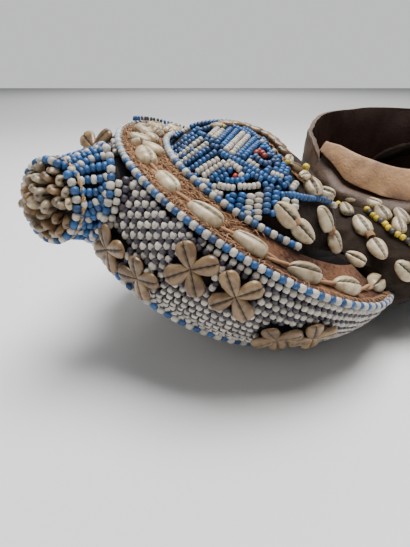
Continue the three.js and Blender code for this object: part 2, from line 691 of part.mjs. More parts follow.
// The origin is the middle of the foot of the part's own box.
const box = new THREE.Box3().setFromObject(group, true);
const middle = box.getCenter(new THREE.Vector3());
rimFrame.position.set(-middle.x, -middle.y, -box.min.z);

export default group;
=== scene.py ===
"""Looks of the beaded helmet mask: beads, cowries, raffia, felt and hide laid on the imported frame.

Places are in millimetres about the middle of the bonnet's rim. Level ones run level with the world. Rim ones run
to the trunk, to the near side and out of the bonnet. Angles round the rim are in degrees from the trunk towards
the near side, and drops are millimetres below the rim plane. Spots are in the photograph, in pixels.
"""

import logging
import math
import random
from collections.abc import Callable, Iterable, Sequence
from dataclasses import dataclass, field
from enum import Enum

import bmesh
import bpy
import numpy as np
from mathutils import Matrix, Vector, kdtree, noise


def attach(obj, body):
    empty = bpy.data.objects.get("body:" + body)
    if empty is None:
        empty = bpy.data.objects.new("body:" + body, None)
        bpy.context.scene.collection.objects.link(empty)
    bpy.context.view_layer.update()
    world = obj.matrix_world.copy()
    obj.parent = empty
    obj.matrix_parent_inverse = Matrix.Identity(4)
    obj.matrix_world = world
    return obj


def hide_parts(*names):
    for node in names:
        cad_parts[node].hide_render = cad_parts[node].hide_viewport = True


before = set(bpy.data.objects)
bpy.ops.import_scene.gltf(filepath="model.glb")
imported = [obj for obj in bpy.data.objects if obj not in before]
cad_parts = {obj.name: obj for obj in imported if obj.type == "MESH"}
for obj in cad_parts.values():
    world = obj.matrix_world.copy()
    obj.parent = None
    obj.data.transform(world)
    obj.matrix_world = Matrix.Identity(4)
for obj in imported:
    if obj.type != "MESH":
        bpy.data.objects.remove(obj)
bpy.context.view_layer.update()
LOG = logging.getLogger("mask")
Array = np.ndarray
Piece = bpy.types.Object
Socket = bpy.types.NodeSocket
Size = tuple[float, float, float]
Colour = tuple[float, float, float]
Spot = tuple[float, float]
TINY = 1e-12
FULL_TURN = 2 * math.pi


def turned(axis: str, degrees: float) -> Array:
    """Gives the 3 by 3 matrix of a turn about one axis."""
    return np.array(Matrix.Rotation(math.radians(degrees), 3, axis))


def unit(vectors: Array) -> Array:
    """Scales each row of an array to length one."""
    return vectors / np.maximum(np.linalg.norm(vectors, axis=-1, keepdims=True), TINY)


RIM_CENTRE = np.array([-33.4158, -14.3252, 91.0])
RIM_TURN = turned("Z", -9.78) @ turned("Y", 28.42) @ turned("Z", -142.12)
BODY_TURN = turned("Z", 29.9)
FLOOR = -RIM_CENTRE[2]
UP = np.array([0.0, 0.0, 1.0])


def from_rim(points: Array) -> Array:
    """Turns rim places into level ones."""
    return np.asarray(points, float) @ RIM_TURN.T


def to_rim(points: Array) -> Array:
    """Turns level places into rim ones."""
    return np.asarray(points, float) @ RIM_TURN


ACROSS_PICTURE = to_rim(np.array([1.0, 0.0, 0.0]))


def metres(points: Array) -> Array:
    """Turns level places into the frame's metres."""
    return (np.asarray(points, float) + RIM_CENTRE) / 1000.0


def outwards(turn: float) -> Array:
    """Gives the way outwards at a turn in radians."""
    return np.array([math.cos(turn), math.sin(turn), 0.0])


def swung(way: Array, axis: Array, swing: float) -> Array:
    """Turns a way about an axis across it, by radians."""
    return way * math.cos(swing) + np.cross(axis, way) * math.sin(swing)


def wobble(place: Iterable[float]) -> float:
    """Gives smooth noise, from about -1 to 1."""
    return noise.noise(Vector(place))


def draws(chance: random.Random, low: float, high: float, rows: int, columns: int = 1) -> Array:
    """Draws a table of numbers between two bounds, row by row."""
    drawn_rows = [[chance.uniform(low, high) for _ in range(columns)] for _ in range(rows)]
    return np.array(drawn_rows).reshape(rows, columns)


def crossing(start: Array, way: Array, sign: float) -> float | None:
    """Gives how far along a way the unit ball is crossed first (sign -1) or last (1), or None."""
    a, b, c = way @ way, start @ way, start @ start - 1.0
    return None if b * b < a * c else (-b + sign * math.sqrt(b * b - a * c)) / a


@dataclass(frozen=True)
class Viewpoint:
    """Where the photograph was taken from: a level place, a pitch in degrees and a focal length in pixels."""

    place: Size = (-42.7, -330.6, 95.0)
    pitch: float = -25.0
    focal: float = 430.0
    middle: Spot = (205.0, 273.5)
    picture_height: float = 547.0
    sensor: float = 36.0

    @property
    def eye(self) -> Array:
        """Gives the camera's level place."""
        return np.array(self.place)

    def axes(self) -> tuple[Array, Array]:
        """Gives the level ways ahead and upwards in the picture."""
        sine, cosine = math.sin(math.radians(self.pitch)), math.cos(math.radians(self.pitch))
        return np.array([0.0, cosine, sine]), np.array([0.0, -sine, cosine])

    def ray(self, x: float, y: float) -> Array:
        """Gives the level direction of the sight line through a spot of the picture.

        Args:
            x: The spot's distance from the picture's left edge, in pixels.
            y: The spot's distance from the picture's top edge, in pixels.

        Returns:
            The direction, with one unit along the line of view.
        """
        ahead, above = self.axes()
        rise = -(y - self.middle[1]) / self.focal
        return np.array([(x - self.middle[0]) / self.focal, 0.0, 0.0]) + rise * above + ahead

    def spots(self, points: Array) -> Array:
        """Gives the spots at which level places lie in the photograph.

        Args:
            points: Level places.

        Returns:
            A row of x and y for each place.
        """
        ahead, above = self.axes()
        from_eye = np.atleast_2d(points) - self.eye
        depth = from_eye @ ahead
        x = self.middle[0] + self.focal * from_eye[:, 0] / depth
        return np.stack([x, self.middle[1] - self.focal * (from_eye @ above) / depth], axis=1)

    def faced(self, points: Array, outs: Array) -> Array:
        """Says which level places face the camera, by their ways out."""
        return np.sum(outs * (self.eye - points), axis=1) > 0.0

    def camera(self) -> None:
        """Adds the scene's camera here."""
        data = bpy.data.cameras.new("viewpoint")
        data.lens = self.focal * self.sensor / self.picture_height
        data.sensor_width = self.sensor
        data.clip_start = 0.01
        camera = bpy.data.objects.new("viewpoint", data)
        camera.location = metres(self.eye)
        camera.rotation_euler = (math.radians(90.0 + self.pitch), 0.0, 0.0)
        bpy.context.scene.collection.objects.link(camera)
        bpy.context.scene.camera = camera


VIEW = Viewpoint()


@dataclass(frozen=True)
class Egg:
    """An egg form of the helmet: its middle, half sizes and turn, and how much deeper it is below."""

    middle: Array
    half: Array
    turn: Array
    sag: float = 0.0

    def own(self, points: Array) -> Array:
        """Turns level places into the egg's own axes."""
        return (np.atleast_2d(points) - self.middle) @ self.turn

    def inside(self, points: Array, offset: float = 0.0) -> Array:
        """Gives the egg's shape function, below one inside it.

        Args:
            points: Level places.
            offset: How far the egg is grown.

        Returns:
            One number for each place.
        """
        own = self.own(points)
        half = np.tile(self.half + offset, (len(own), 1))
        half[own[:, 2] < 0, 2] *= 1.0 + self.sag / self.half[2]
        return np.sum((own / half) ** 2, axis=1)

    def outward(self, points: Array) -> Array:
        """Gives the way out of the egg at each level place."""
        return unit((self.own(points) / self.half**2) @ self.turn.T)

    def settle(self, points: Array, offset: float = 0.0) -> Array:
        """Moves level places onto the egg grown by an offset, straight from or to its middle."""
        return self.middle + (np.atleast_2d(points) - self.middle) / np.sqrt(self.inside(points, offset))[:, None]

    def seen(self, x: float, y: float, offset: float = 0.0) -> Array | None:
        """Finds where a sight line of the photograph meets the egg.

        Args:
            x: The spot in the picture, from its left edge.
            y: The spot in the picture, from its top edge.
            offset: How far the egg is grown.

        Returns:
            The level place, or None where the line misses it.
        """
        half, ray = self.half + offset, VIEW.ray(x, y)
        reach = crossing(((VIEW.eye - self.middle) @ self.turn) / half, (ray @ self.turn) / half, -1.0)
        return None if reach is None else VIEW.eye + reach * ray

    def spot(self, azimuth: float, elevation: float, offset: float) -> Array:
        """Gives a level place on the grown egg by two angles in its own axes, in degrees.

        Args:
            azimuth: The angle round it, from its own X towards its own Y.
            elevation: The angle up from its own level plane.
            offset: How far the egg is grown.

        Returns:
            The level place.
        """
        a, e = math.radians(azimuth), math.radians(elevation)
        own = np.array([math.cos(e) * math.cos(a), math.cos(e) * math.sin(a), math.sin(e)])
        return self.middle + (own * (self.half + offset)) @ self.turn.T


DOME = Egg(from_rim(np.array([15.0, 2.0, 4.0])), np.array([66.5, 76.5, 44.0]), RIM_TURN)
BODY = Egg(np.array([100.0, 45.0, -42.0]), np.array([122.0, 94.0, 46.0]), BODY_TURN, 4.5)
JAW = Egg(np.array([165.0, 82.0, -22.0]), np.array([58.0, 70.0, 66.0]), BODY_TURN)
EGGS = (DOME, BODY, JAW)


def off_helmet(points: Array, offset: float) -> Array:
    """Says which level places lie outside the helmet grown by an offset."""
    return np.all([egg.inside(points, offset) > 1.0 for egg in EGGS], axis=0)


def on_felt(x: float, y: float, lift: float) -> Array | None:
    """Finds the level place, lifted off the felt, that a spot shows, or None."""
    found = [place for egg in (BODY, DOME) if (place := egg.seen(x, y, lift)) is not None]
    return min(found, key=lambda place: float(np.linalg.norm(place - VIEW.eye)), default=None)


def helmet_top(x: float, y: float) -> float:
    """Gives the level height of the helmet's outside at a level x and y.

    Args:
        x: The place's level x.
        y: The place's level y.

    Returns:
        The height over the rim's middle.
    """
    tops = [BODY.middle[2]]
    for egg in EGGS:
        reach = crossing((np.array([x, y, 0.0]) - egg.middle) @ egg.turn / egg.half, UP @ egg.turn / egg.half, 1.0)
        tops += [] if reach is None else [reach]
    return max(tops)


@dataclass(frozen=True)
class BonnetForm:
    """The bonnet's outside: a bowl that leans and swells as it goes down from its rim."""

    rim: float = 120.0
    depth: float = 92.0
    fullness: float = 2.2
    lean: Spot = (26.0, -12.0)
    bulge: float = 0.1
    search: Size = (200.0, 480.0, 0.5)

    def radius(self, share: Array) -> Array:
        """Gives the radius of the bowl, not swollen, at a share of its depth."""
        return self.rim * (1.0 - share**self.fullness) ** (1.0 / self.fullness)

    def swell(self, turn: Array, share: Array) -> Array:
        """Gives how many times wider the bowl is at a turn in radians and a share of its depth."""
        return 1.0 + self.bulge * np.maximum(np.cos(turn), 0.0) * 4.0 * share * (1.0 - share)

    def point(self, angle: Array, drop: Array) -> Array:
        """Gives rim places on the outside.

        Args:
            angle: Degrees round the rim from the trunk towards the near side.
            drop: Millimetres below the rim plane.

        Returns:
            One row for each angle.
        """
        turn, fall = np.broadcast_arrays(np.radians(np.asarray(angle, float)), np.asarray(drop, float))
        u = np.clip(fall / self.depth, 0.0, 1.0)
        radius, swell = self.radius(u), self.swell(turn, u)
        x = radius * np.cos(turn) * swell + self.lean[0] * u * u
        y = radius * np.sin(turn) * swell + self.lean[1] * u * u
        return np.stack([x, y, -fall], axis=-1)

    def normal(self, angle: Array, drop: Array) -> Array:
        """Gives the ways out of the bonnet, in rim axes, at the places that `point` gives.

        Args:
            angle: Degrees round the rim.
            drop: Millimetres below the rim plane.

        Returns:
            One row for each place.
        """
        angle, drop = np.asarray(angle), np.clip(np.asarray(drop, float), 0.0, self.depth - 1.5)
        across = self.point(angle + 0.5, drop) - self.point(angle - 0.5, drop)
        return unit(np.cross(self.point(angle, drop + 0.5) - self.point(angle, drop - 0.5), across))

    def lifted(self, angle: Array, drop: Array, lift: float) -> Array:
        """Gives rim places lifted off the outside."""
        return self.point(angle, drop) + self.normal(angle, drop) * lift

    def under(self, rim_points: Array) -> tuple[Array, Array]:
        """Gives the angles and drops of the outside beside rim places.

        Args:
            rim_points: Rim places.

        Returns:
            The angles, and the drops.
        """
        drop = np.clip(-rim_points[:, 2], 0.0, self.depth - 1.0)
        u = drop / self.depth
        x, y = rim_points[:, 0] - self.lean[0] * u * u, rim_points[:, 1] - self.lean[1] * u * u
        return np.degrees(np.arctan2(y, x)), drop

    def drops(self, spacing: float, first: float = 0.55) -> list[float]:
        """Gives the drops of rows laid a spacing apart along the slope, the first at a share of it.

        Args:
            spacing: The rows' distance along the slope.
            first: The first row's share of a spacing.

        Returns:
            The drops.
        """
        u = np.linspace(0.0, 0.999, 800)
        slope = np.hypot(np.diff(self.radius(u)), np.diff(self.depth * u))
        run = np.append(0.0, np.cumsum(slope))
        return list(np.interp(np.arange(first * spacing, run[-1], spacing), run, self.depth * u))

    def seen(self, spots: Array) -> tuple[Array, Array, Array]:
        """Finds what spots show of the outside.

        Args:
            spots: Rows of x and y.

        Returns:
            Which spots show it, and the angles and drops of the places.
        """
        rays = np.array([VIEW.ray(x, y) for x, y in spots]) @ RIM_TURN
        points = VIEW.eye @ RIM_TURN + rays[:, None, :] * np.arange(*self.search)[None, :, None]
        drop = -points[..., 2]
        u = np.clip(drop / self.depth, 0.0, 0.9999)
        x, y = points[..., 0] - self.lean[0] * u * u, points[..., 1] - self.lean[1] * u * u
        angle = np.arctan2(y, x)
        inside = (np.hypot(x, y) < self.radius(u) * self.swell(angle, u)) & (drop >= 0.0) & (drop < self.depth)
        rows, first = np.arange(len(spots)), inside.argmax(axis=1)
        return inside.any(axis=1), np.degrees(angle[rows, first]), drop[rows, first]


BONNET = BonnetForm()


def deselect() -> None:
    """Leaves object mode with nothing selected."""
    if bpy.context.object and bpy.context.object.mode != "OBJECT":
        bpy.ops.object.mode_set(mode="OBJECT")
    bpy.ops.object.select_all(action="DESELECT")


def choose(piece: Piece) -> None:
    """Makes one piece the only one selected, and the active one.

    Args:
        piece: The piece.
    """
    deselect()
    piece.select_set(True)
    bpy.context.view_layer.objects.active = piece


def edit(
    piece: Piece, kind: str, work: Callable[[], object], wanted: Callable[[object], bool] = lambda _: True
) -> None:
    """Works on elements of a piece in edit mode.

    Args:
        piece: The piece.
        kind: VERT, EDGE or FACE.
        work: Calls the operator.
        wanted: Says of each bmesh element whether it is worked on.
    """
    choose(piece)
    bpy.ops.object.mode_set(mode="EDIT")
    bpy.ops.mesh.select_mode(type=kind)
    bpy.ops.mesh.select_all(action="DESELECT")
    mesh = bmesh.from_edit_mesh(piece.data)
    for element in {"VERT": mesh.verts, "EDGE": mesh.edges, "FACE": mesh.faces}[kind]:
        element.select_set(bool(wanted(element)))
    mesh.select_flush_mode()
    bmesh.update_edit_mesh(piece.data)
    work()
    bpy.ops.object.mode_set(mode="OBJECT")


def turn_faces_out(piece: Piece) -> None:
    """Makes all faces of a closed piece look outwards."""
    edit(piece, "FACE", lambda: bpy.ops.mesh.normals_make_consistent(inside=False))


def subdivide(piece: Piece) -> None:
    """Rounds a piece by one step of subdivision.

    Args:
        piece: The piece.
    """
    choose(piece)
    modifier = piece.modifiers.new("Subsurf", "SUBSURF")
    modifier.levels = modifier.render_levels = 1
    bpy.ops.object.modifier_apply(modifier=modifier.name)


def mesh_piece(name: str, points: Array, faces: Sequence[Sequence[int]]) -> Piece:
    """Makes a piece of level places and faces.

    Args:
        name: The piece's name.
        points: Level places in millimetres.
        faces: Each face's corner numbers.

    Returns:
        The new object, in metres, in the frame.
    """
    mesh = bpy.data.meshes.new(name)
    mesh.from_pydata(metres(points).tolist(), [], faces)
    mesh.polygons.foreach_set("use_smooth", np.ones(len(mesh.polygons), bool))
    mesh.update()
    piece = bpy.data.objects.new(name, mesh)
    bpy.context.scene.collection.objects.link(piece)
    return piece


def write_attribute(piece: Piece, name: str, values: Array) -> None:
    """Stores one number for each point of a piece."""
    layer = piece.data.attributes.new(name, "FLOAT", "POINT")
    layer.data.foreach_set("value", np.asarray(values, np.float32))


def raw_points(piece: Piece) -> Array:
    """Gives a piece's points in its own units.

    Args:
        piece: The piece.

    Returns:
        One row for each point.
    """
    flat = np.empty(len(piece.data.vertices) * 3)
    piece.data.vertices.foreach_get("co", flat)
    return flat.reshape(-1, 3)


def read_points(piece: Piece) -> Array:
    """Gives a piece's points as level places."""
    return raw_points(piece) * 1000.0 - RIM_CENTRE


def write_points(piece: Piece, points: Array) -> None:
    """Puts a piece's points at level places."""
    piece.data.vertices.foreach_set("co", metres(points).ravel())
    piece.data.update()


def node_copy(node: str, name: str) -> Piece:
    """Copies a node of the frame as a new piece with its doubled points merged.

    Args:
        node: The node's name.
        name: The new piece's name.

    Returns:
        The copy, with no material.
    """
    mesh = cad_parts[node].data.copy()
    mesh.name = name
    mesh.materials.clear()
    piece = bpy.data.objects.new(name, mesh)
    bpy.context.scene.collection.objects.link(piece)
    edit(piece, "VERT", lambda: bpy.ops.mesh.remove_doubles(threshold=1e-5))
    return piece


class Wiring:
    """A material being made: adds nodes to its tree and joins them."""

    def __init__(self, name: str) -> None:
        """Starts a material that holds a shader and its output.

        Args:
            name: The material's name.
        """
        self.material = bpy.data.materials.new(name)
        self.material.use_nodes = True
        self.tree = self.material.node_tree
        self.shader = self.tree.nodes["Principled BSDF"]

    def add(self, kind: str, settings: dict[str, object] | None = None, **inputs: object) -> bpy.types.Node:
        """Adds a node.

        Args:
            kind: Blender's name of the node type, without ShaderNode.
            settings: Properties set on the node.
            inputs: Input values or sockets; a number behind an underscore picks an input by place.

        Returns:
            The node.
        """
        node = self.tree.nodes.new(f"ShaderNode{kind}")
        for key, value in (settings or {}).items():
            setattr(node, key, value)
        for key, value in inputs.items():
            self.feed(node.inputs[int(key[1:]) if key[0] == "_" else key], value)
        return node

    def feed(self, socket: Socket, value: object) -> None:
        """Joins a socket to an input, or sets the input's value.

        Args:
            socket: The input.
            value: A socket to join, or a value.
        """
        if isinstance(value, bpy.types.NodeSocket):
            self.tree.links.new(value, socket)
        else:
            is_colour = isinstance(value, tuple) and len(value) == 3 and socket.type == "RGBA"
            socket.default_value = (*value, 1.0) if is_colour else value

    def place(self) -> Socket:
        """Gives the piece's own coordinates."""
        return self.add("TexCoord").outputs["Object"]

    def attribute(self, name: str) -> Socket:
        """Gives a number stored on the piece."""
        return self.add("Attribute", {"attribute_name": name}).outputs["Fac"]

    def noise(self, scale: float, detail: float = 3.0) -> Socket:
        """Gives a soft noise from 0 to 1, by how many lumps there are to a metre and how fine it goes."""
        return self.add("TexNoise", None, Vector=self.place(), Scale=scale, Detail=detail).outputs[0]

    def stretch(self, value: object, low: float, high: float, to_low: float = 0.0, to_high: float = 1.0) -> Socket:
        """Maps a number from the range low to high to another range, held to its ends."""
        return self.add("MapRange", None, _0=value, _1=low, _2=high, _3=to_low, _4=to_high).outputs[0]

    def mix(self, share: object, first: object, second: object, blend: str = "MIX") -> Socket:
        """Mixes a share of the second colour into the first, by Blender's name of the way of mixing."""
        settings = {"data_type": "RGBA", "blend_type": blend}
        return self.add("Mix", settings, _0=share, _6=first, _7=second).outputs[2]

    def sum(self, first: object, second: object, share: float) -> Socket:
        """Adds a share of the second number to the first."""
        return self.add("Math", {"operation": "MULTIPLY_ADD"}, _0=second, _1=share, _2=first).outputs[0]

    def bump(self, height: object, strength: float, distance: float) -> None:
        """Gives the shader relief from a height, by a strength and a depth in metres."""
        node = self.add("Bump", None, Strength=strength, Distance=distance, Height=height)
        self.set(Normal=node.outputs[0])

    def set(self, **values: object) -> None:
        """Sets or joins inputs of the shader; two underscores stand for a space."""
        for key, value in values.items():
            self.feed(self.shader.inputs[key.replace("__", " ")], value)


@dataclass(frozen=True)
class Look:
    """What all finishes share: a material's name, and how the material is made."""

    name: str

    def make(self) -> bpy.types.Material:
        """Builds the material.

        Returns:
            The material.
        """
        wiring = Wiring(self.name)
        self.wire(wiring)
        return wiring.material

    def wire(self, wiring: Wiring) -> None:
        """Adds the finish's nodes."""
        raise NotImplementedError


@dataclass(frozen=True)
class GlassBead(Look):
    """Opaque glass beads, each a little lighter or darker than the next, with dust between them."""

    colour: Colour
    spread: float = 0.35
    dust: Colour = (0.16, 0.13, 0.105)
    dust_share: float = 0.3
    roughness: float = 0.34

    def wire(self, wiring: Wiring) -> None:
        """Adds the finish's nodes.

        Args:
            wiring: The material being made.
        """
        tone = wiring.stretch(wiring.attribute("tone"), 0.0, 1.0, 1.0 - self.spread, 1.0 + self.spread * 0.5)
        plain = wiring.mix(1.0, self.colour, tone, "MULTIPLY")
        grime = wiring.stretch(wiring.noise(55.0, 4.0), 0.42, 0.78, 0.04, self.dust_share)
        rough = wiring.stretch(wiring.noise(300.0), 0.3, 0.7, self.roughness, self.roughness + 0.22)
        wiring.set(Base__Color=wiring.mix(grime, plain, self.dust), Roughness=rough)


@dataclass(frozen=True)
class CowrieShell(Look):
    """A glossy shell, mottled, with painted shade in its slot: near-black where the hollow opening is, and darker on
    its lips.
    """

    colour: Colour
    shade: Colour
    # Painted shade: the near-black of the slot's hollow, which the model closes over.
    slot: Colour = (0.012, 0.007, 0.004)
    roughness: float = 0.3

    def wire(self, wiring: Wiring) -> None:
        """Adds the finish's nodes.

        Args:
            wiring: The material being made.
        """
        mottle = wiring.stretch(wiring.noise(170.0, 5.0), 0.38, 0.68)
        tone = wiring.stretch(wiring.attribute("tone"), 0.0, 1.0, 0.62, 1.12)
        toned = wiring.mix(1.0, wiring.mix(mottle, self.colour, self.shade), tone, "MULTIPLY")
        # The "slot" mark paints the slot near-black and darkens its lips, as painted shade.
        slot = wiring.attribute("slot")
        wiring.set(Base__Color=wiring.mix(slot, toned, self.slot))
        wiring.set(Roughness=wiring.stretch(slot, 0.0, 1.0, self.roughness, 0.8), Coat__Weight=0.12)
        wiring.bump(wiring.noise(900.0, 2.0), 0.12, 0.0004)


@dataclass(frozen=True)
class Fibre(Look):
    """Raffia or another plant fibre, in strands of many browns."""

    light: Colour
    dark: Colour

    def wire(self, wiring: Wiring) -> None:
        """Adds the finish's nodes.

        Args:
            wiring: The material being made.
        """
        streak = wiring.sum(wiring.attribute("tone"), wiring.noise(900.0, 4.0), 0.5)
        wiring.set(Base__Color=wiring.mix(wiring.stretch(streak, 0.2, 1.25), self.dark, self.light))
        wiring.set(Roughness=0.85, Sheen__Weight=0.15, Sheen__Roughness=0.4, Specular__IOR__Level=0.15)
        wiring.bump(wiring.noise(1400.0, 3.0), 0.5, 0.0004)


@dataclass(frozen=True)
class Cloth(Look):
    """Matted cloth or felt with lumps, given by their depth and number to a metre, and rubbed patches."""

    colour: Colour
    rubbed: Colour
    sheen: float
    lumps: float = 0.0011
    scale: float = 170.0

    def wire(self, wiring: Wiring) -> None:
        """Adds the finish's nodes.

        Args:
            wiring: The material being made.
        """
        fine = wiring.noise(self.scale, 7.0)
        patch = wiring.stretch(wiring.sum(wiring.noise(26.0, 5.0), fine, 0.6), 0.62, 1.05)
        wiring.set(Base__Color=wiring.mix(patch, self.colour, self.rubbed), Roughness=0.95)
        wiring.set(Sheen__Weight=self.sheen, Sheen__Roughness=0.5, Specular__IOR__Level=0.15)
        wiring.bump(wiring.sum(fine, wiring.noise(1500.0, 2.0), 0.35), 0.9, self.lumps)


@dataclass(frozen=True)
class Hide(Look):
    """Worn hide: a dark grain side, a tan flesh side and a near-black inside, blended by the piece's own marks; the
    inside colour also paints shade under the collar's fold and in the face's hollows.
    """

    grain: Colour = (0.045, 0.026, 0.017)
    worn: Colour = (0.14, 0.085, 0.054)
    flesh: Colour = (0.42, 0.235, 0.115)
    soiled: Colour = (0.2, 0.11, 0.06)
    # Near-black of the collar's dark inside; also painted shade under the collar's fold and in the face's eye slits
    # and hollows.
    inner: Colour = (0.03, 0.009, 0.004)

    def wire(self, wiring: Wiring) -> None:
        """Adds the finish's nodes.

        Args:
            wiring: The material being made.
        """
        fine = wiring.noise(420.0, 6.0)
        patch = wiring.stretch(wiring.sum(wiring.noise(32.0, 6.0), fine, 0.45), 0.5, 0.95)
        grain = wiring.mix(patch, self.grain, self.worn)
        flesh = wiring.mix(wiring.stretch(wiring.noise(60.0, 6.0), 0.42, 0.7), self.flesh, self.soiled)
        both = wiring.mix(wiring.attribute("flesh"), grain, flesh)
        # The "inner" mark brings in that near-black: the collar's dark inside, and painted shade under its fold and in
        # the face's hollows.
        wiring.set(Base__Color=wiring.mix(wiring.attribute("inner"), both, self.inner))
        wiring.set(Roughness=wiring.stretch(fine, 0.3, 0.7, 0.5, 0.72), Specular__IOR__Level=0.4)
        creases = wiring.add("TexVoronoi", {"feature": "DISTANCE_TO_EDGE"}, Vector=wiring.place(), Scale=330.0)
        wiring.bump(wiring.sum(fine, creases.outputs[0], 0.8), 0.5, 0.0007)


@dataclass(frozen=True)
class Ground(Look):
    """The plain pale surface that the mask lies on."""

    colour: Colour = (0.85, 0.85, 0.845)

    def wire(self, wiring: Wiring) -> None:
        """Adds the finish's nodes."""
        wiring.set(Base__Color=self.colour, Roughness=0.92, Specular__IOR__Level=0.1)


class Finish(Enum):
    """The finishes of the whole object."""

    WHITE = GlassBead("white bead", (0.58, 0.53, 0.46), 0.25)
    BLUE = GlassBead("cobalt bead", (0.01, 0.095, 0.28), 0.55)
    PALE = GlassBead("pale blue bead", (0.27, 0.42, 0.58), 0.3)
    NIGHT = GlassBead("near-black bead", (0.05, 0.043, 0.06), 0.5, dust_share=0.22)
    RED = GlassBead("red bead", (0.36, 0.025, 0.012), 0.4)
    YELLOW = GlassBead("yellow bead", (0.72, 0.52, 0.035), 0.3)
    CREAM_COWRIE = CowrieShell("cream cowrie", (0.68, 0.57, 0.38), (0.38, 0.26, 0.14))
    TAN_COWRIE = CowrieShell("tan cowrie", (0.31, 0.2, 0.1), (0.15, 0.08, 0.036))
    GREY_COWRIE = CowrieShell("grey cowrie", (0.42, 0.33, 0.22), (0.16, 0.11, 0.065))
    RAFFIA = Fibre("raffia", (0.4, 0.21, 0.09), (0.08, 0.033, 0.013))
    WOVEN = Cloth("woven raffia", (0.04, 0.016, 0.009), (0.25, 0.115, 0.06), 0.04, 0.0012, 420.0)
    STRAW = Fibre("straw", (0.55, 0.38, 0.2), (0.2, 0.12, 0.06))
    FELT = Cloth("brown felt", (0.013, 0.0075, 0.005), (0.034, 0.022, 0.0145), 0.06)
    # Dark cloth under the beads, made near-black so that it also paints the shade in the gap between band and felt.
    BACKING = Cloth("dark backing cloth and gap shade", (0.006, 0.005, 0.005), (0.018, 0.014, 0.013), 0.05, 0.0005, 500.0)
    HIDE = Hide("worn hide")
    FACE_HIDE = Hide("face hide", (0.12, 0.06, 0.032), (0.27, 0.16, 0.095))
    GROUND = Ground("pale ground")

    def material(self) -> bpy.types.Material:
        """Gives the material of this finish, made the first time it is asked for."""
        return bpy.data.materials.get(self.value.name) or self.value.make()


def hand_over(piece: Piece, slot: str, *nodes: str, finish: Finish | None = None) -> None:
    """Gives a finished piece its finish, hangs it under the root and hides the nodes that it replaces.

    Args:
        piece: The finished piece.
        slot: Not used.
        nodes: The nodes that it replaces.
        finish: The finish, unless the piece has its finishes already.
    """
    if finish:
        piece.data.materials.append(finish.material())
    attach(piece, "root")
    if nodes:
        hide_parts(*nodes)


@dataclass
class Template:
    """A small shape about its own middle, long along X, with its top along Z, and its slot marked for painted shade.
    """

    points: Array
    faces: list[list[int]]
    slot: Array

    @classmethod
    def taken(cls, piece: Piece, slot: Sequence[float] = ()) -> "Template":
        """Takes a modelled piece, at the origin, and marks from 0 to 1 of painted shade in its slot; removes the
        piece.

        Args:
            piece: The piece, removed afterwards.
            slot: The marks of painted shade on its points, if it has a slot.

        Returns:
            The template.
        """
        mesh, points = piece.data, raw_points(piece)
        faces = [list(face.vertices) for face in mesh.polygons]
        bpy.data.objects.remove(piece)
        bpy.data.meshes.remove(mesh)
        return cls(points, faces, np.array(slot) if len(slot) else np.zeros(len(points)))


def seats_of(along: Array, up: Array) -> Array:
    """Gives 3 by 3 matrices with X along the first ways and Z as near to the second ones as it can be.

    Args:
        along: The first ways, one row for each seat or one for all.
        up: The second ways, likewise.

    Returns:
        The matrices.
    """
    along, up = np.broadcast_arrays(np.atleast_2d(along), np.atleast_2d(up))
    along = unit(along)
    side = unit(np.cross(up, along))
    return np.stack([along, side, np.cross(along, side)], axis=-1)


@dataclass
class Batch:
    """A piece made of many copies of templates, with a finish, a tone and a size for each copy."""

    name: str
    chance: random.Random
    points: list[Array] = field(default_factory=list)
    faces: list[list[int]] = field(default_factory=list)
    finishes: list[Finish] = field(default_factory=list)
    face_finish: list[int] = field(default_factory=list)
    tones: list[Array] = field(default_factory=list)
    slot_shades: list[Array] = field(default_factory=list)
    count: int = 0

    def add(
        self, template: Template, places: Array, along: Array, up: Array, sizes: Array | Size, finish: Finish
    ) -> None:
        """Adds copies of a template.

        Args:
            template: The shape.
            places: Level places, one row for each copy.
            along: The level ways along them, for each copy or for all.
            up: The level ways that their tops face, for each copy or for all.
            sizes: Half length, width and height, for each copy or for all.
            finish: The finish of all copies.
        """
        places = np.atleast_2d(places)
        if not len(places):
            return
        sizes = np.broadcast_to(np.asarray(sizes, float), (len(places), 3))
        seats = np.broadcast_to(seats_of(along, up), (len(places), 3, 3))
        moved = np.einsum("nij,nkj->nki", seats, template.points[None] * sizes[:, None]) + places[:, None]
        if finish not in self.finishes:
            self.finishes.append(finish)
        number, size = self.finishes.index(finish), len(template.points)
        for start in range(self.count, self.count + size * len(places), size):
            self.faces.extend([start + corner for corner in face] for face in template.faces)
        self.face_finish.extend([number] * (len(template.faces) * len(places)))
        self.points.append(moved.reshape(-1, 3))
        self.tones.append(np.repeat([self.chance.random() for _ in places], size))
        self.slot_shades.append(np.tile(template.slot, len(places)))
        self.count += size * len(places)

    def share_out(
        self, template: Template, places: Array, along: Array, up: Array, sizes: Array | Size,
        parts: Iterable[tuple[Array, Finish]],
    ) -> None:
        """Adds copies as `add` does, in parts: each picks some of them and has its own finish.

        Args:
            template: The shape.
            places: Level places, one row for each copy.
            along: The level ways along them, as for `add`.
            up: The ways that their tops face, as for `add`.
            sizes: Their half sizes, as for `add`.
            parts: For each part, which copies it has, and its finish.
        """
        rows = [np.broadcast_to(np.asarray(values, float), places.shape) for values in (along, up, sizes)]
        for chosen, finish in parts:
            self.add(template, places[chosen], *(values[chosen] for values in rows), finish)

    def build(self, slot: str, *nodes: str) -> None:
        """Makes the piece and hands it over, with the nodes that it replaces.

        Args:
            slot: Passed on to hand_over, which does not use it.
            nodes: The nodes that the piece replaces.
        """
        piece = mesh_piece(self.name, np.concatenate(self.points), self.faces)
        for finish in self.finishes:
            piece.data.materials.append(finish.material())
        piece.data.polygons.foreach_set("material_index", np.array(self.face_finish, np.int32))
        write_attribute(piece, "tone", np.concatenate(self.tones))
        # Painted shade: the "slot" attribute darkens the cowries' slots and lips.
        write_attribute(piece, "slot", np.concatenate(self.slot_shades))
        piece.data.update()
        hand_over(piece, slot, *nodes)
        LOG.info("%s: %d faces", self.name, len(self.faces))


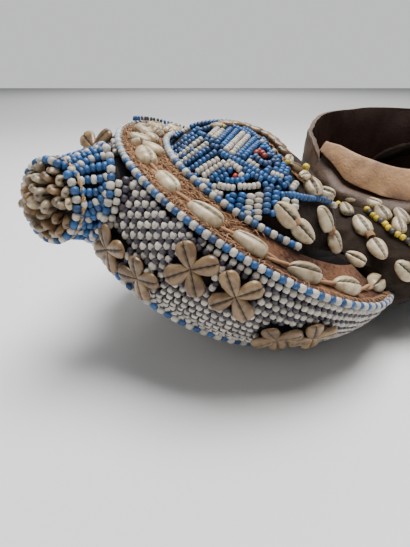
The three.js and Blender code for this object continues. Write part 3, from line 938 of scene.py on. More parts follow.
def bead_template() -> Template:
    """Models a bead of unit half sizes: a short drum with rounded shoulders, its thread along X.

    Returns:
        The template.
    """
    deselect()
    bpy.ops.mesh.primitive_cylinder_add(vertices=8, radius=1.0, depth=2.0, rotation=(0.0, math.pi / 2, 0.0))
    piece = bpy.context.active_object
    bpy.ops.object.transform_apply(location=False, rotation=True, scale=False)
    edit(
        piece, "EDGE", lambda: bpy.ops.mesh.bevel(offset=0.42, segments=1, affect="EDGES"),
        lambda edge: abs(edge.verts[0].co.x - edge.verts[1].co.x) < 1e-4,
    )
    return Template.taken(piece)


@dataclass(frozen=True)
class CowrieForm:
    """How a cowrie is modelled: its meridians' degrees from the slot, its rings, teeth, lean and lips."""

    angles: tuple[float, ...] = (0, 7, 15, 27, 42, 60, 82, 108, 140, 180)
    rings: int = 14
    tooth: float = 0.05
    lean: float = 0.2
    lip: float = 0.17

    def model(self) -> Template:
        """Models a shell of unit half sizes: X along it, its slotted side along Z, its cut back flat.

        Returns:
            The template, with the mark "slot" on the points inside the slot and on its lips, where the shell's finish
            paints shade.
        """
        around = 2 * (len(self.angles) - 1)
        deselect()
        bpy.ops.mesh.primitive_uv_sphere_add(
            segments=around, ring_count=self.rings, radius=1.0, rotation=(0.0, math.pi / 2, 0.0)
        )
        piece = bpy.context.active_object
        bpy.ops.object.transform_apply(location=False, rotation=True, scale=False)
        slot = []
        for vertex in piece.data.vertices:
            x, y, z = vertex.co
            girth = math.hypot(y, z)
            pole = girth <= 1e-5
            step = 0 if pole else round(math.degrees(math.atan2(y, z)) / (360.0 / around))
            ring = round(math.degrees(math.acos(max(-1.0, min(1.0, x)))) / (180.0 / self.rings))
            vertex.co, mark = self.shaped(x, step, ring, girth)
            slot.append(0.0 if pole else mark)
        return Template.taken(piece, slot)

    def shaped(self, x: float, step: int, ring: int, girth: float) -> tuple[Size, float]:
        """Shapes one point of the ball.

        Args:
            x: Where the point is along the shell, from -1 to 1.
            step: Which meridian it is on, counted from the slot.
            ring: Which ring it is on.
            girth: The ball's radius at the ring.

        Returns:
            The place, and how much painted shade of the slot it gets, from 0 to 1.
        """
        angle = math.radians(self.angles[min(abs(step), len(self.angles) - 1)])
        girth = girth**0.8 * (1.0 + self.lean * x)
        odd, mark = ring % 2, 0.0
        y, z = math.sin(angle) * girth, math.cos(angle)
        z = abs(z) ** 0.75 * (1.0 if z >= 0 else -0.3)
        # The slot's floor gets the full mark and the lips part of it: painted shade of the hollow slot.
        if step == 0:
            z, mark = 0.58, 1.0
        elif abs(step) == 1:
            y = self.lip * girth + (self.tooth if odd else -0.02) * girth
            z, mark = 0.84, 0.55 if odd else 0.25
        elif abs(step) == 2:
            y += (0.03 if odd else 0.0) * girth
        z = z * girth**0.5 - 0.08
        if abs(x) > 0.93 and z > 0.0:
            z *= 0.8
        return (x, -y if step < 0 else y, z), mark


@dataclass(frozen=True)
class Kit:
    """The templates that the pieces share."""

    bead: Template
    shell: Template
    petal: Template
    small_shell: Template

    @classmethod
    def modelled(cls) -> "Kit":
        """Models the templates.
        """
        small = CowrieForm((0, 12, 30, 60, 100, 180), 8, 0.06)
        petal = CowrieForm((0, 9, 17, 29, 44, 62, 84, 110, 142, 180), 12, 0.03, 0.38, 0.12)
        return cls(bead_template(), CowrieForm().model(), petal.model(), small.model())


def resample(points: Array, pitch: float, start: float = 0.5) -> tuple[Array, Array]:
    """Walks a line in equal steps.

    Args:
        points: The line, one row for each corner.
        pitch: The length of a step.
        start: Where the first place lies, in steps.

    Returns:
        The places, and the directions of the line there.
    """
    points = np.asarray(points, float)
    run = np.append(0.0, np.cumsum(np.linalg.norm(np.diff(points, axis=0), axis=1)))
    wanted = (np.arange(max(1, int(run[-1] / pitch - start + 0.5))) + start) * pitch
    wanted = wanted[wanted <= run[-1]]
    places, ahead, behind = (
        np.stack([np.interp(wanted + shift * pitch, run, points[:, i]) for i in range(3)], axis=1)
        for shift in (0.0, 0.3, -0.3)
    )
    return places, unit(ahead - behind)


def smooth_line(corners: Sequence[Sequence[float]], steps: int = 8) -> Array:
    """Runs a smooth line through corners.

    Args:
        corners: The corners, as rows of any length.
        steps: How many points there are to each stretch.

    Returns:
        The line's points.
    """
    nodes = np.asarray(corners, float)
    if len(nodes) < 3:
        share = np.linspace(0.0, 1.0, steps * max(1, len(nodes) - 1) + 1)[:, None]
        return nodes[0] * (1.0 - share) + nodes[-1] * share
    padded = np.vstack([2 * nodes[0] - nodes[1], nodes, 2 * nodes[-1] - nodes[-2]])
    line = []
    for i in range(1, len(padded) - 2):
        a, b, c, d = padded[i - 1 : i + 3]
        for t in np.arange(steps) / steps:
            bend = 2 * b + (c - a) * t + (2 * a - 5 * b + 4 * c - d) * t * t + (3 * b - a - 3 * c + d) * t**3
            line.append(0.5 * bend)
    return np.array([*line, nodes[-1]])


def grid_faces(rows: int, columns: int, rows_meet: bool, columns_meet: bool, start: int = 0) -> list[list[int]]:
    """Joins a grid of points by faces with four corners.

    Args:
        rows: How many rows of points there are.
        columns: How many points a row has.
        rows_meet: Whether the last row is joined to the first.
        columns_meet: Whether each row's ends are joined.
        start: The first point's number.

    Returns:
        The faces' corner numbers.
    """
    faces = []
    for row in range(rows if rows_meet else rows - 1):
        for column in range(columns if columns_meet else columns - 1):
            below, ahead = (row + 1) % rows, (column + 1) % columns
            corners = ((row, column), (row, ahead), (below, ahead), (below, column))
            faces.append([start + a * columns + b for a, b in corners])
    return faces


def tube(
    name: str, lines: Iterable[Array], radii: Iterable[float], sides: int, *nodes: str,
    finish: Finish = Finish.RAFFIA,
) -> None:
    """Makes and hands over one piece of round fibre strands with closed ends and a tone for each.

    Args:
        name: The piece's name.
        lines: The strands' middle lines, as level points.
        radii: The strands' radii.
        sides: How many sides a strand has.
        nodes: The nodes that the piece replaces.
        finish: The finish.
    """
    points, faces, tones = [], [], []
    chance = random.Random(name)
    turns = np.arange(sides) / sides * 2 * math.pi
    for line, radius in zip(lines, radii):
        ahead = unit(np.gradient(line, axis=0))
        first = np.cross(ahead, UP + 0.01)
        upright = np.linalg.norm(first, axis=1, keepdims=True) < 0.05
        first = unit(np.where(upright, np.array([1.0, 0, 0]), first))
        second = np.cross(ahead, first)
        taper = np.ones(len(line))
        taper[0] = taper[-1] = 0.55
        circle = np.cos(turns)[:, None] * first[:, None] + np.sin(turns)[:, None] * second[:, None]
        points.append((line[:, None] + circle * radius * taper[:, None, None]).reshape(-1, 3))
        start, last = len(tones), len(tones) + (len(line) - 1) * sides
        faces += grid_faces(len(line), sides, False, True, start)
        faces += [[start + side for side in reversed(range(sides))], [last + side for side in range(sides)]]
        tones.extend([chance.random()] * (len(line) * sides))
    piece = mesh_piece(name, np.vstack(points), faces)
    write_attribute(piece, "tone", np.array(tones))
    hand_over(piece, "raffia", *nodes, finish=finish)
    LOG.info("%s: %d faces", name, len(faces))


def within(outline: Sequence[Spot], spots: Array) -> Array:
    """Says which spots of the picture lie within an outline.

    Args:
        outline: The outline's corners, in pixels.
        spots: One row of x and y for each spot.

    Returns:
        True or False for each spot.
    """
    inside = np.zeros(len(spots), bool)
    for (x0, y0), (x1, y1) in zip(outline, [*outline[1:], outline[0]]):
        crosses = (spots[:, 1] < y0) != (spots[:, 1] < y1)
        rise = y1 - y0 if y1 != y0 else 1e-9
        inside ^= crosses & (spots[:, 0] < x0 + (spots[:, 1] - y0) * (x1 - x0) / rise)
    return inside


@dataclass
class Trunk:
    """The short trunk stub: where it starts and ends, which way it faces there and how thick it is."""

    base: Size = (129.0, 1.0, -25.0)
    base_facing: Size = (0.99, -0.03, -0.09)
    end: Size = (155.5, 6.5, -35.5)
    end_facing: Size = (0.88, 0.47, -0.06)
    radii: tuple[Size, Size] = ((0.0, 0.6, 1.0), (26.8, 21.5, 20.5))
    strands: int = 26
    strand_bead: Spot = (3.6, 5.4)
    root_beads: int = 37
    cord_share: float = 0.77
    cluster: tuple[tuple[int, float, float, float], ...] = (
        (15, 15.8, 22.0, -7.5), (11, 11.5, 16.0, -4.0), (6, 6.0, 9.0, -1.5), (2, 1.5, 4.0, -0.5),
    )

    def seat(self, share: float) -> tuple[Array, Array]:
        """Gives the trunk's level middle and axes at a share of its way, with the way along it third.

        Args:
            share: The share of the way, 0 at its base and 1 at its end.

        Returns:
            The middle, and a 3 by 3 matrix with the axes as its columns.
        """
        facing = unit(np.array(self.base_facing) * (1 - share) + np.array(self.end_facing) * share)
        middle = np.array(self.base) * (1 - share) + np.array(self.end) * share
        side = unit(np.cross(facing, UP))
        return from_rim(middle), RIM_TURN @ np.stack([np.cross(side, facing), side, facing], axis=1)

    def around(self, share: float, radius: float, turns: Array) -> Array:
        """Gives level places round the trunk, by turns in radians."""
        middle, axes = self.seat(share)
        return middle + np.stack([np.cos(turns) * radius, np.sin(turns) * radius, 0.0 * turns], axis=1) @ axes.T

    def build_strands(self, kit: Kit) -> None:
        """Threads strands of beads along the trunk, one plain blue and the next blue and white.

        Args:
            kit: The shared templates.
        """
        batch = Batch("trunk_bead_strands", random.Random("strands"))
        pitch, across = self.strand_bead
        for strand in range(self.strands):
            turn = FULL_TURN * (strand + 0.5) / self.strands
            line = []
            for share in np.linspace(0.03, 0.93, 24):
                radius = np.interp(share, *self.radii) + 1.1 + 1.2 * share
                line.append(self.around(share, radius, np.array([turn + 0.08 * math.sin(5 * share + strand)])))
            places, along = resample(np.vstack(line), pitch)
            sizes = np.array([pitch, across, across]) / 2 * draws(batch.chance, 0.93, 1.05, len(places))
            white = (strand % 2 == 1) & (np.arange(len(places)) % 2 == 0)
            parts = (white, Finish.WHITE), (~white, Finish.BLUE)
            batch.share_out(kit.bead, places, along, unit(places - self.seat(0.5)[0]), sizes, parts)
        batch.build("blue_bead")

    def build_rings(self, kit: Kit) -> None:
        """Threads the two bead rings, and winds the straw cord behind the outer one.

        Args:
            kit: The shared templates.
        """
        for node, share, radius, finishes in (
            ("trunk_base_ring", 0.0, 29.6, (Finish.WHITE, Finish.BLUE)),
            ("trunk_end_ring", 0.97, 23.9, (Finish.BLUE, Finish.WHITE)),
        ):
            batch = Batch(f"{node}_dressed", random.Random(node))
            line = self.around(share, radius, np.linspace(0, FULL_TURN, 181))
            places, along = resample(line, FULL_TURN * radius / (2 * round(math.pi * radius / 5.0)))
            even = np.arange(len(places)) % 2 == 0
            sizes = np.where(even[:, None], (2.35, 2.6, 2.6), (2.2, 2.45, 2.45))
            up = self.seat(share)[1][:, 2]
            batch.share_out(kit.bead, places, along, up, sizes, zip((even, ~even), finishes))
            batch.build("blue_bead", node)
        middle, axes = self.seat(self.cord_share)
        turns, lines = np.linspace(0, FULL_TURN, 121), []
        for strand in range(3):
            loop = self.around(self.cord_share + 0.02 * strand, 24.6, turns)
            phase = (turns * 30 + strand * 2.1)[:, None]
            lines.append(loop + unit(loop - middle) * np.sin(phase) * 0.5 + axes[:, 2] * np.cos(phase) * 0.5)
        tube("trunk_straw_twist", lines, [0.75] * 3, 5, "trunk_straw_cord", finish=Finish.STRAW)

    def build_root(self, kit: Kit) -> None:
        """Sews rows of beads behind the base ring, down to the bonnet.

        Args:
            kit: The shared templates.
        """
        batch = Batch("trunk_root_beads", random.Random("flange"))
        middle, axes = self.seat(0.0)
        for row in range(5):
            turns = FULL_TURN * (np.arange(self.root_beads) + 0.5 * (row % 2)) / self.root_beads
            places = self.around(0.0, 30.6 + 0.5 * row, turns) - axes[:, 2] * (4.3 + 4.1 * row)
            own = to_rim(places)
            angle, drop = BONNET.under(own)
            height = np.sum((own - BONNET.point(angle, drop)) * BONNET.normal(angle, drop), axis=1)
            keep = (height > -0.6) & (height < 16.0) & (own[:, 2] < -1.5)
            finish = Finish.NIGHT if row % 2 else Finish.WHITE
            batch.add(kit.bead, places[keep], axes[:, 2], unit(places - middle)[keep], (2.0, 2.35, 2.35), finish)
        batch.build("beadwork")

    def build_cluster(self, kit: Kit) -> None:
        """Ties a bunch of small shells on the trunk's end, their points outwards.

        Args:
            kit: The shared templates.
        """
        chance = random.Random("cluster")
        batch = Batch("trunk_cowrie_cluster", chance)
        middle, axes = self.seat(1.0)
        finishes = [Finish.GREY_COWRIE, Finish.TAN_COWRIE, Finish.CREAM_COWRIE, Finish.GREY_COWRIE]
        for count, radius, splay, rise in self.cluster:
            for number in range(count):
                out = outwards(FULL_TURN * (number + chance.uniform(0.25, 0.75) + radius / 20) / count)
                lean = math.radians(splay + chance.uniform(-9, 9))
                along = out * math.sin(lean) + UP * math.cos(lean)
                up = swung(out * math.cos(lean) - UP * math.sin(lean), along, chance.uniform(-1.2, 1.2))
                own = out * radius + UP * rise + along * chance.uniform(5.0, 7.0)
                size = np.array([6.9, 4.1, 3.5]) * chance.uniform(0.88, 1.1)
                finish = chance.choice(finishes)
                batch.add(kit.small_shell, middle + axes @ own, axes @ along, axes @ up, size, finish)
        batch.build("cowrie", "trunk_cowries")

    def dress(self, kit: Kit) -> None:
        """Builds all of the trunk, over dark cloth.

        Args:
            kit: The shared templates.
        """
        hand_over(node_copy("trunk_stub", "trunk_core"), "blue_bead", "trunk_stub", finish=Finish.BACKING)
        self.build_strands(kit)
        self.build_rings(kit)
        self.build_root(kit)
        self.build_cluster(kit)


@dataclass(frozen=True)
class Rosette:
    """Four shells sewn down as petals: the rosette's node, its place on the bonnet and its turn."""

    node: str
    angle: float
    drop: float
    turn: float
    lean: float = 0.0
    lift: float = 2.2
    grow: float = 1.0
    petal: Size = (8.0, 5.5, 2.9)
    reach: float = 7.9

    def middle(self, lift: float = 0.0) -> Array:
        """Gives the rosette's level middle, lifted off the bonnet."""
        return from_rim(BONNET.lifted(self.angle, self.drop, lift))

    def dress(self, kit: Kit) -> None:
        """Builds the rosette, leaning to the camera by its lean.

        Args:
            kit: The shared templates.
        """
        chance = random.Random(self.node)
        batch = Batch(f"{self.node}_shells", chance)
        eye = unit(VIEW.eye - self.middle())
        up = unit(from_rim(BONNET.normal(self.angle, self.drop)) + eye * self.lean)
        side = from_rim(BONNET.point(self.angle + 1, self.drop) - BONNET.point(self.angle - 1, self.drop))
        along = unit(side - up * (side @ up))
        for number in range(4):
            out = swung(along, up, math.radians(self.turn + number * 90 + chance.uniform(-9, 9)))
            tip = unit(out + up * chance.uniform(-0.1, 0.02))
            size = np.array(self.petal) * (chance.uniform(0.94, 1.06) * self.grow)
            place = self.middle(self.lift) + out * self.reach * self.grow
            batch.add(kit.petal, place, tip, up, size, Finish.TAN_COWRIE)
        batch.build("cowrie", self.node)


ROSETTES = tuple(
    Rosette(f"cowrie_rosette_{number}", *row)
    for number, row in enumerate(
        (
            (-23.5, 17.0, 10.0, 0.75, 4.5, 1.12), (19.0, 39.5, 36.0, 0.0, 3.6), (31.2, 42.0, 25.0), (41.0, 16.0, 51.0),
            (54.0, 16.2, 48.0), (74.0, 33.5, 52.0), (83.5, 25.0, 44.0), (-60.0, 34.0, 0.0),
        ),
        1,
    )
)


@dataclass
class Bonnet:
    """The beaded bonnet: dark cloth, rows of beads over it, and the strings round it.

    A bead is given by its length and thickness, the front by its outline, and its rows by their first, last and
    step in the picture. What is taken are the level places of the beads laid so far.
    """

    trunk: Trunk
    sunk: float = 1.8
    row_pitch: float = 3.1
    bead_pitch: float = 5.0
    beads: dict[Finish, Spot] = field(
        default_factory=lambda: {Finish.WHITE: (3.9, 4.5), Finish.NIGHT: (3.6, 4.1)}
    )
    front: tuple[Spot, ...] = (
        (86, 108), (128, 118), (206, 240), (190, 246), (170, 253), (155, 266), (148, 285), (142, 304), (110, 270),
        (84, 244), (84, 190),
    )
    front_rows: Size = (140.0, 305.0, 5.3)
    front_pitch: float = 8.1
    big_beads: tuple[Spot, ...] = ((152.6, 265.6), (149, 272), (145.6, 278), (145.6, 285), (147, 291))
    inner_end: float = 301.0
    taken: list[Array] = field(default_factory=list)

    def clear(self, rim_points: Array) -> Array:
        """Says which rim places aren't under another piece.

        Args:
            rim_points: Rim places.

        Returns:
            True for each place that is free.
        """
        points = from_rim(rim_points)
        keep = off_helmet(points, 2.5)
        for rosette in ROSETTES:
            keep &= np.linalg.norm(points - rosette.middle(), axis=1) > 11.5
        return keep & (np.linalg.norm(points - self.trunk.seat(0.0)[0], axis=1) > 31.6)

    def lay(
        self, batch: Batch, kit: Kit, rim_points: Array, along: Array, bead: Spot, finish: Finish
    ) -> None:
        """Lays beads on the cloth, held off the floor.

        Args:
            batch: The piece that gets them.
            kit: The templates.
            rim_points: Rim places on the bonnet's outside.
            along: The thread's way in rim axes, at each place or at all.
            bead: The bead's length and thickness.
            finish: Its finish.
        """
        out, count = BONNET.normal(*BONNET.under(rim_points)), len(rim_points)
        jitter = draws(batch.chance, -1, 1, count, 3)
        places = from_rim(rim_points - out * self.sunk + jitter * np.array([0.28, 0.28, 0.22]))
        places[:, 2] = np.maximum(places[:, 2], FLOOR + bead[1] / 2 + 0.2)
        along = from_rim(along + np.cross(out, along) * draws(batch.chance, -0.16, 0.16, count))
        sizes = np.array([[bead[0] / 2, bead[1] / 2, bead[1] / 2]]) * (1.0 + jitter[:, :1] * 0.07)
        batch.add(kit.bead, places, along, from_rim(out), sizes, finish)
        self.taken.append(places)

    def build_cloth(self) -> None:
        """Lays dark cloth over the bowl, a little within the beads; its near-black also paints the shade in the gap
        between band and felt.
        """
        piece = node_copy("beaded_bonnet", "bonnet_cloth")
        points = read_points(piece)
        rim_points = to_rim(points)
        angle, drop = BONNET.under(rim_points)
        away = np.linalg.norm(rim_points - BONNET.point(angle, drop), axis=1)
        near = ((away < 1.6) & (rim_points[:, 2] < 0.6)) | (points[:, 2] < FLOOR + 0.3)
        rim_points[near] -= BONNET.normal(angle, drop)[near] * 3.0
        moved = from_rim(rim_points)
        moved[:, 2] = np.maximum(moved[:, 2], FLOOR + 1.2)
        write_points(piece, moved)
        hand_over(piece, "beadwork", "beaded_bonnet", finish=Finish.BACKING)

    def build_rows(self, kit: Kit) -> None:
        """Threads rows of white and near-black beads round the bowl, in two pieces.

        Args:
            kit: The shared templates.
        """
        chance = random.Random("rows")
        upper, lower = Batch("upper_bead_rows", chance), Batch("lower_bead_rows", chance)
        angles = np.arange(-180.0, 180.1, 1.0)
        for number, drop in enumerate(BONNET.drops(self.row_pitch)):
            finish = Finish.NIGHT if number % 2 else Finish.WHITE
            start = (0.5 * (number % 2) + 0.3 * (number // 2)) % 1.0
            line = BONNET.point(angles, np.full_like(angles, drop))
            places, along = resample(line, self.bead_pitch, start)
            points, outs = from_rim(places), from_rim(BONNET.normal(*BONNET.under(places)))
            keep = self.clear(places) & ~(within(self.front, VIEW.spots(points)) & VIEW.faced(points, outs))
            batch = upper if drop < 40 else lower
            self.lay(batch, kit, places[keep], along[keep], self.beads[finish], finish)
        upper.build("beadwork")
        lower.build("beadwork")

    def build_front(self, kit: Kit) -> None:
        """Threads the panel between trunk and rosettes, whose rows lie level in the picture.

        Args:
            kit: The shared templates.
        """
        batch = Batch("front_bead_rows", random.Random("front"))
        for number, y in enumerate(np.arange(*self.front_rows)):
            finish, bead = (Finish.NIGHT, (4.0, 4.5)) if number % 2 else (Finish.WHITE, (4.1, 4.8))
            shift = (0.5 * (number % 2) + 0.16 * (number // 2)) % 1.0
            row = np.arange(80.0 + self.front_pitch * shift, 212.0, self.front_pitch)
            spots = np.array([(x, y) for x in row])
            spots = spots[within(self.front, spots)]
            if not len(spots):
                continue
            found, angle, drop = BONNET.seen(spots)
            places = BONNET.point(angle[found], drop[found])
            keep = self.clear(places) & (drop[found] > 0.8)
            self.lay(batch, kit, places[keep], ACROSS_PICTURE, bead, finish)
        _, angle, drop = BONNET.seen(np.array(self.big_beads))
        along = to_rim(np.array([0.3, 0.0, -1.0]))
        self.lay(batch, kit, BONNET.lifted(angle, drop, 1.4), along, (4.8, 5.6), Finish.WHITE)
        batch.build("beadwork")

    def build_fillers(self, kit: Kit) -> None:
        """Sews dark beads wherever the rows leave the cloth bare.

        Args:
            kit: The shared templates.
        """
        tree = kdtree.KDTree(sum(len(places) for places in self.taken))
        for index, place in enumerate(np.concatenate(self.taken)):
            tree.insert(place, index)
        tree.balance()
        angles, drops = np.meshgrid(np.arange(-180.0, 180.0, 1.1), np.arange(1.2, 76.0, 1.3))
        points = BONNET.point(angles.ravel(), drops.ravel())
        points = points[self.clear(points)]
        sunk = from_rim(points - BONNET.normal(*BONNET.under(points)) * self.sunk)
        chosen: list[int] = []
        for index, place in enumerate(sunk):
            if tree.find(place)[2] > 3.75:
                last = sunk[chosen[-400:]]
                if not chosen or np.linalg.norm(last - place, axis=1).min() > 3.9:
                    chosen.append(index)
        batch = Batch("filler_beads", random.Random("fillers"))
        points = points[chosen]
        white = (points[:, 2] > -3.6) & (np.arange(len(chosen)) % 2 == 0)
        for part, finish in ((white, Finish.WHITE), (~white, Finish.NIGHT)):
            self.lay(batch, kit, points[part], ACROSS_PICTURE, (3.5, 4.0), finish)
        batch.build("beadwork")

    def build_strings(self, kit: Kit) -> None:
        """Threads the blue and white strings round the edge, on the band's inner edge and underneath.

        Args:
            kit: The shared templates.
        """
        turns = np.radians(np.arange(-180.0, 180.1, 0.5))
        edge = np.stack([118.6 * np.cos(turns), 118.6 * np.sin(turns), np.full_like(turns, 2.75)], axis=1)
        inner = band_point(np.ones_like(turns), np.degrees(turns), np.full_like(turns, 13.05))
        under = BONNET.lifted(np.arange(-180.0, 180.1, 2.0), 63.0, 0.6)
        for name, line, pitch, across, node in (
            ("edge_beads", edge, 4.42, 5.0, "edge_bead_string"),
            ("inner_beads", inner, 4.35, 4.9, "inner_bead_string"),
            ("under_beads", under, 5.2, 5.2, "under_bead_string"),
        ):
            batch = Batch(name, random.Random(name))
            places, along = resample(line, pitch)
            points = from_rim(places)
            keep = off_helmet(points, 1.0)
            if name == "inner_beads":
                keep &= (VIEW.spots(points)[:, 0] < self.inner_end) | (places[:, 1] < 0.0)
            points[:, 2] = np.maximum(points[:, 2], FLOOR + across / 2 + 0.2)
            along, even = from_rim(along), np.arange(len(places)) % 2 == 0
            angle = np.degrees(np.arctan2(places[:, 1], places[:, 0]))
            far = angle < -42.0
            pale = (angle < 2.0) & (angle > -42.0)
            for chosen, finish in (
                (even & ~far, Finish.WHITE), (~even & pale, Finish.PALE), (~even & ~pale & ~far, Finish.BLUE),
                (even & far, Finish.PALE), (~even & far, Finish.NIGHT),
            ):
                chosen = chosen & keep
                thick = across / 2 * (1.04 if finish is Finish.WHITE else 0.96)
                sizes = np.array([pitch * 0.5, thick, thick]) * draws(batch.chance, 0.94, 1.05, int(chosen.sum()))
                batch.add(kit.bead, points[chosen], along[chosen], from_rim(UP), sizes, finish)
            batch.build("blue_bead", node)

    def build_spikes(self, kit: Kit) -> None:
        """Sews a row of dark long beads, on end, round the rim's far side.

        Args:
            kit: The shared templates.
        """
        chance = random.Random("spikes")
        batch = Batch("far_rim_beads", chance)
        for angle in np.arange(-150.0, -42.0, 2.3):
            out = outwards(math.radians(angle + chance.uniform(-0.4, 0.4)))
            way = unit(out * 0.5 + np.array([chance.uniform(-0.2, 0.2), chance.uniform(-0.2, 0.2), 1.0]))
            place = from_rim(out * 120.4 + UP * 5.0)
            if BODY.inside(place, 3.0)[0] < 1.0:
                continue
            finish = chance.choice([Finish.NIGHT, Finish.NIGHT, Finish.BLUE])
            batch.add(kit.bead, place, from_rim(way), from_rim(out), (2.9, 1.25, 1.25), finish)
        batch.build("beadwork")

    def dress(self, kit: Kit) -> None:
        """Builds all of the bonnet's outside.

        Args:
            kit: The shared templates.
        """
        self.build_cloth()
        self.build_rows(kit)
        self.build_front(kit)
        self.build_fillers(kit)
        self.build_strings(kit)
        self.build_spikes(kit)


def band_point(inward: Array, angle: Array, height: Array) -> Array:
    """Gives rim places on the band.

    Args:
        inward: From 0 at its outer edge to 1 at its inner edge.
        angle: Degrees round the rim.
        height: Millimetres over the rim plane.

    Returns:
        One row for each place.
    """
    outer, inner = 115.8, 84.0
    radius, turn = outer + (inner - outer) * np.asarray(inward), np.radians(angle)
    x = radius * np.cos(turn) + 4.0 * np.asarray(inward)
    y = radius * np.sin(turn) + 2.0 * np.asarray(inward)
    return np.stack([x, y, np.broadcast_to(height, x.shape)], axis=-1)


@dataclass
class RearBand:
    """The band of raffia on the bonnet's lip: a woven ground with loose fibres and stitches on it."""

    steps: int = 180
    across: int = 10
    thickness: float = 3.0
    fibres: int = 1500
    stitches: int = 170

    def height(self, inward: Array) -> Array:
        """Gives the band's top over the rim plane: low outside, dipped, and higher inside."""
        return np.interp(inward, [0.0, 0.25, 0.45, 0.7, 1.0], [0.6, 0.55, 1.2, 3.4, 7.0]) + self.thickness

    def free_share(self, angle: float) -> float:
        """Says how far inwards from its outer edge the band is clear of the helmet at an angle.

        Args:
            angle: Degrees round the rim.

        Returns:
            The share of the band's width, from 0 to 1.
        """
        inward = np.linspace(0.0, 1.0, 41)
        points = from_rim(band_point(inward, np.full(41, angle), self.height(inward)))
        # Past 60 degrees the band stops 1.5 mm short of the helmet, so the near-black backing shows in the gap as
        # painted shade.
        covered = ~off_helmet(points, 1.5 if angle > 60.0 else -2.5)
        return float(inward[covered.argmax()]) if covered.any() else 1.0

    def build_ground(self) -> None:
        """Makes the woven ground as a strip with closed ends, cut off inside the helmet."""
        angles = np.linspace(-180.0, 180.0, self.steps + 1)
        limit = np.array([self.free_share(angle) for angle in angles])
        angles, limit = angles[limit > 0.05], limit[limit > 0.05]
        inwards = [share * limit for share in np.linspace(0.0, 1.0, self.across)]
        rings = [band_point(inward, angles, self.height(inward)) for inward in inwards]
        rings = np.stack([*rings, *(ring - UP * self.thickness for ring in reversed(rings))])
        rings[:, :, 2] += 0.35
        for point in rings[: self.across].reshape(-1, 3):
            point[2] += 0.5 * wobble(point * 0.12)
        sections, steps, _ = rings.shape
        faces = [[section * steps for section in reversed(range(sections))]]
        faces.append([section * steps + steps - 1 for section in range(sections)])
        points = rings.reshape(-1, 3)
        piece = mesh_piece("woven_band", from_rim(points), faces + grid_faces(sections, steps, True, False))
        angle = np.degrees(np.arctan2(points[:, 1], points[:, 0]))
        crown = np.interp(angle, [-70.0, -20.0, 20.0, 60.0], [0.6, 0.9, 0.75, 0.15])
        write_attribute(piece, "tone", crown + np.array([0.25 * wobble(point * 0.06) for point in points]))
        subdivide(piece)
        hand_over(piece, "raffia", "rear_band", finish=Finish.WOVEN)

    def build_fibres(self) -> None:
        """Strews short bent fibres over the crown side of the band."""
        chance = random.Random("fibres")
        lines, radii = [], []
        share = np.linspace(0.0, 1.0, 5)[:, None]
        for _ in range(self.fibres):
            angle, inward = chance.triangular(-75.0, 60.0, 8.0), chance.uniform(0.02, 0.98)
            spot = band_point(inward, angle, float(self.height(inward)) + 0.5)
            heading, length = math.radians(chance.gauss(angle + 90.0, 32.0)), chance.uniform(4.0, 12.0)
            way = outwards(heading) + UP * chance.uniform(-0.05, 0.22)
            bow = UP * chance.uniform(0.3, 1.8)
            curl = np.array([chance.uniform(-1, 1), chance.uniform(-1, 1), 0.0]) * 1.2
            line = spot + way * length * (share - 0.5) + bow * 4 * share * (1 - share) + curl * share * share
            if off_helmet(from_rim(line), 0.5).all():
                lines.append(from_rim(line))
                radii.append(chance.uniform(0.14, 0.36))
        tube("loose_raffia_fibres", lines, radii, 4)

    def build_stitches(self) -> None:
        """Sews small loops of raffia over the band's outer edge, between the edge beads."""
        chance = random.Random("stitches")
        lines, radii = [], []
        for number in range(self.stitches):
            angle = -180.0 + 360.0 * (number + chance.uniform(0.1, 0.9)) / self.stitches
            skew = chance.uniform(-1.4, 1.4)
            corners = [
                band_point(0.12, angle + skew, 3.9),
                band_point(0.03, angle + skew * 0.5, 5.1 + chance.uniform(0, 1.2)),
                band_point(-0.06, angle, 5.2 + chance.uniform(0, 0.9)),
                band_point(-0.13, angle - skew * 0.4, 2.6),
            ]
            line = from_rim(smooth_line(corners, 3))
            if off_helmet(line, 0.5).all():
                lines.append(line)
                radii.append(chance.uniform(0.2, 0.34))
        tube("raffia_edge_stitches", lines, radii, 4)

    def dress(self) -> None:
        """Builds the band."""
        self.build_ground()
        self.build_fibres()
        self.build_stitches()


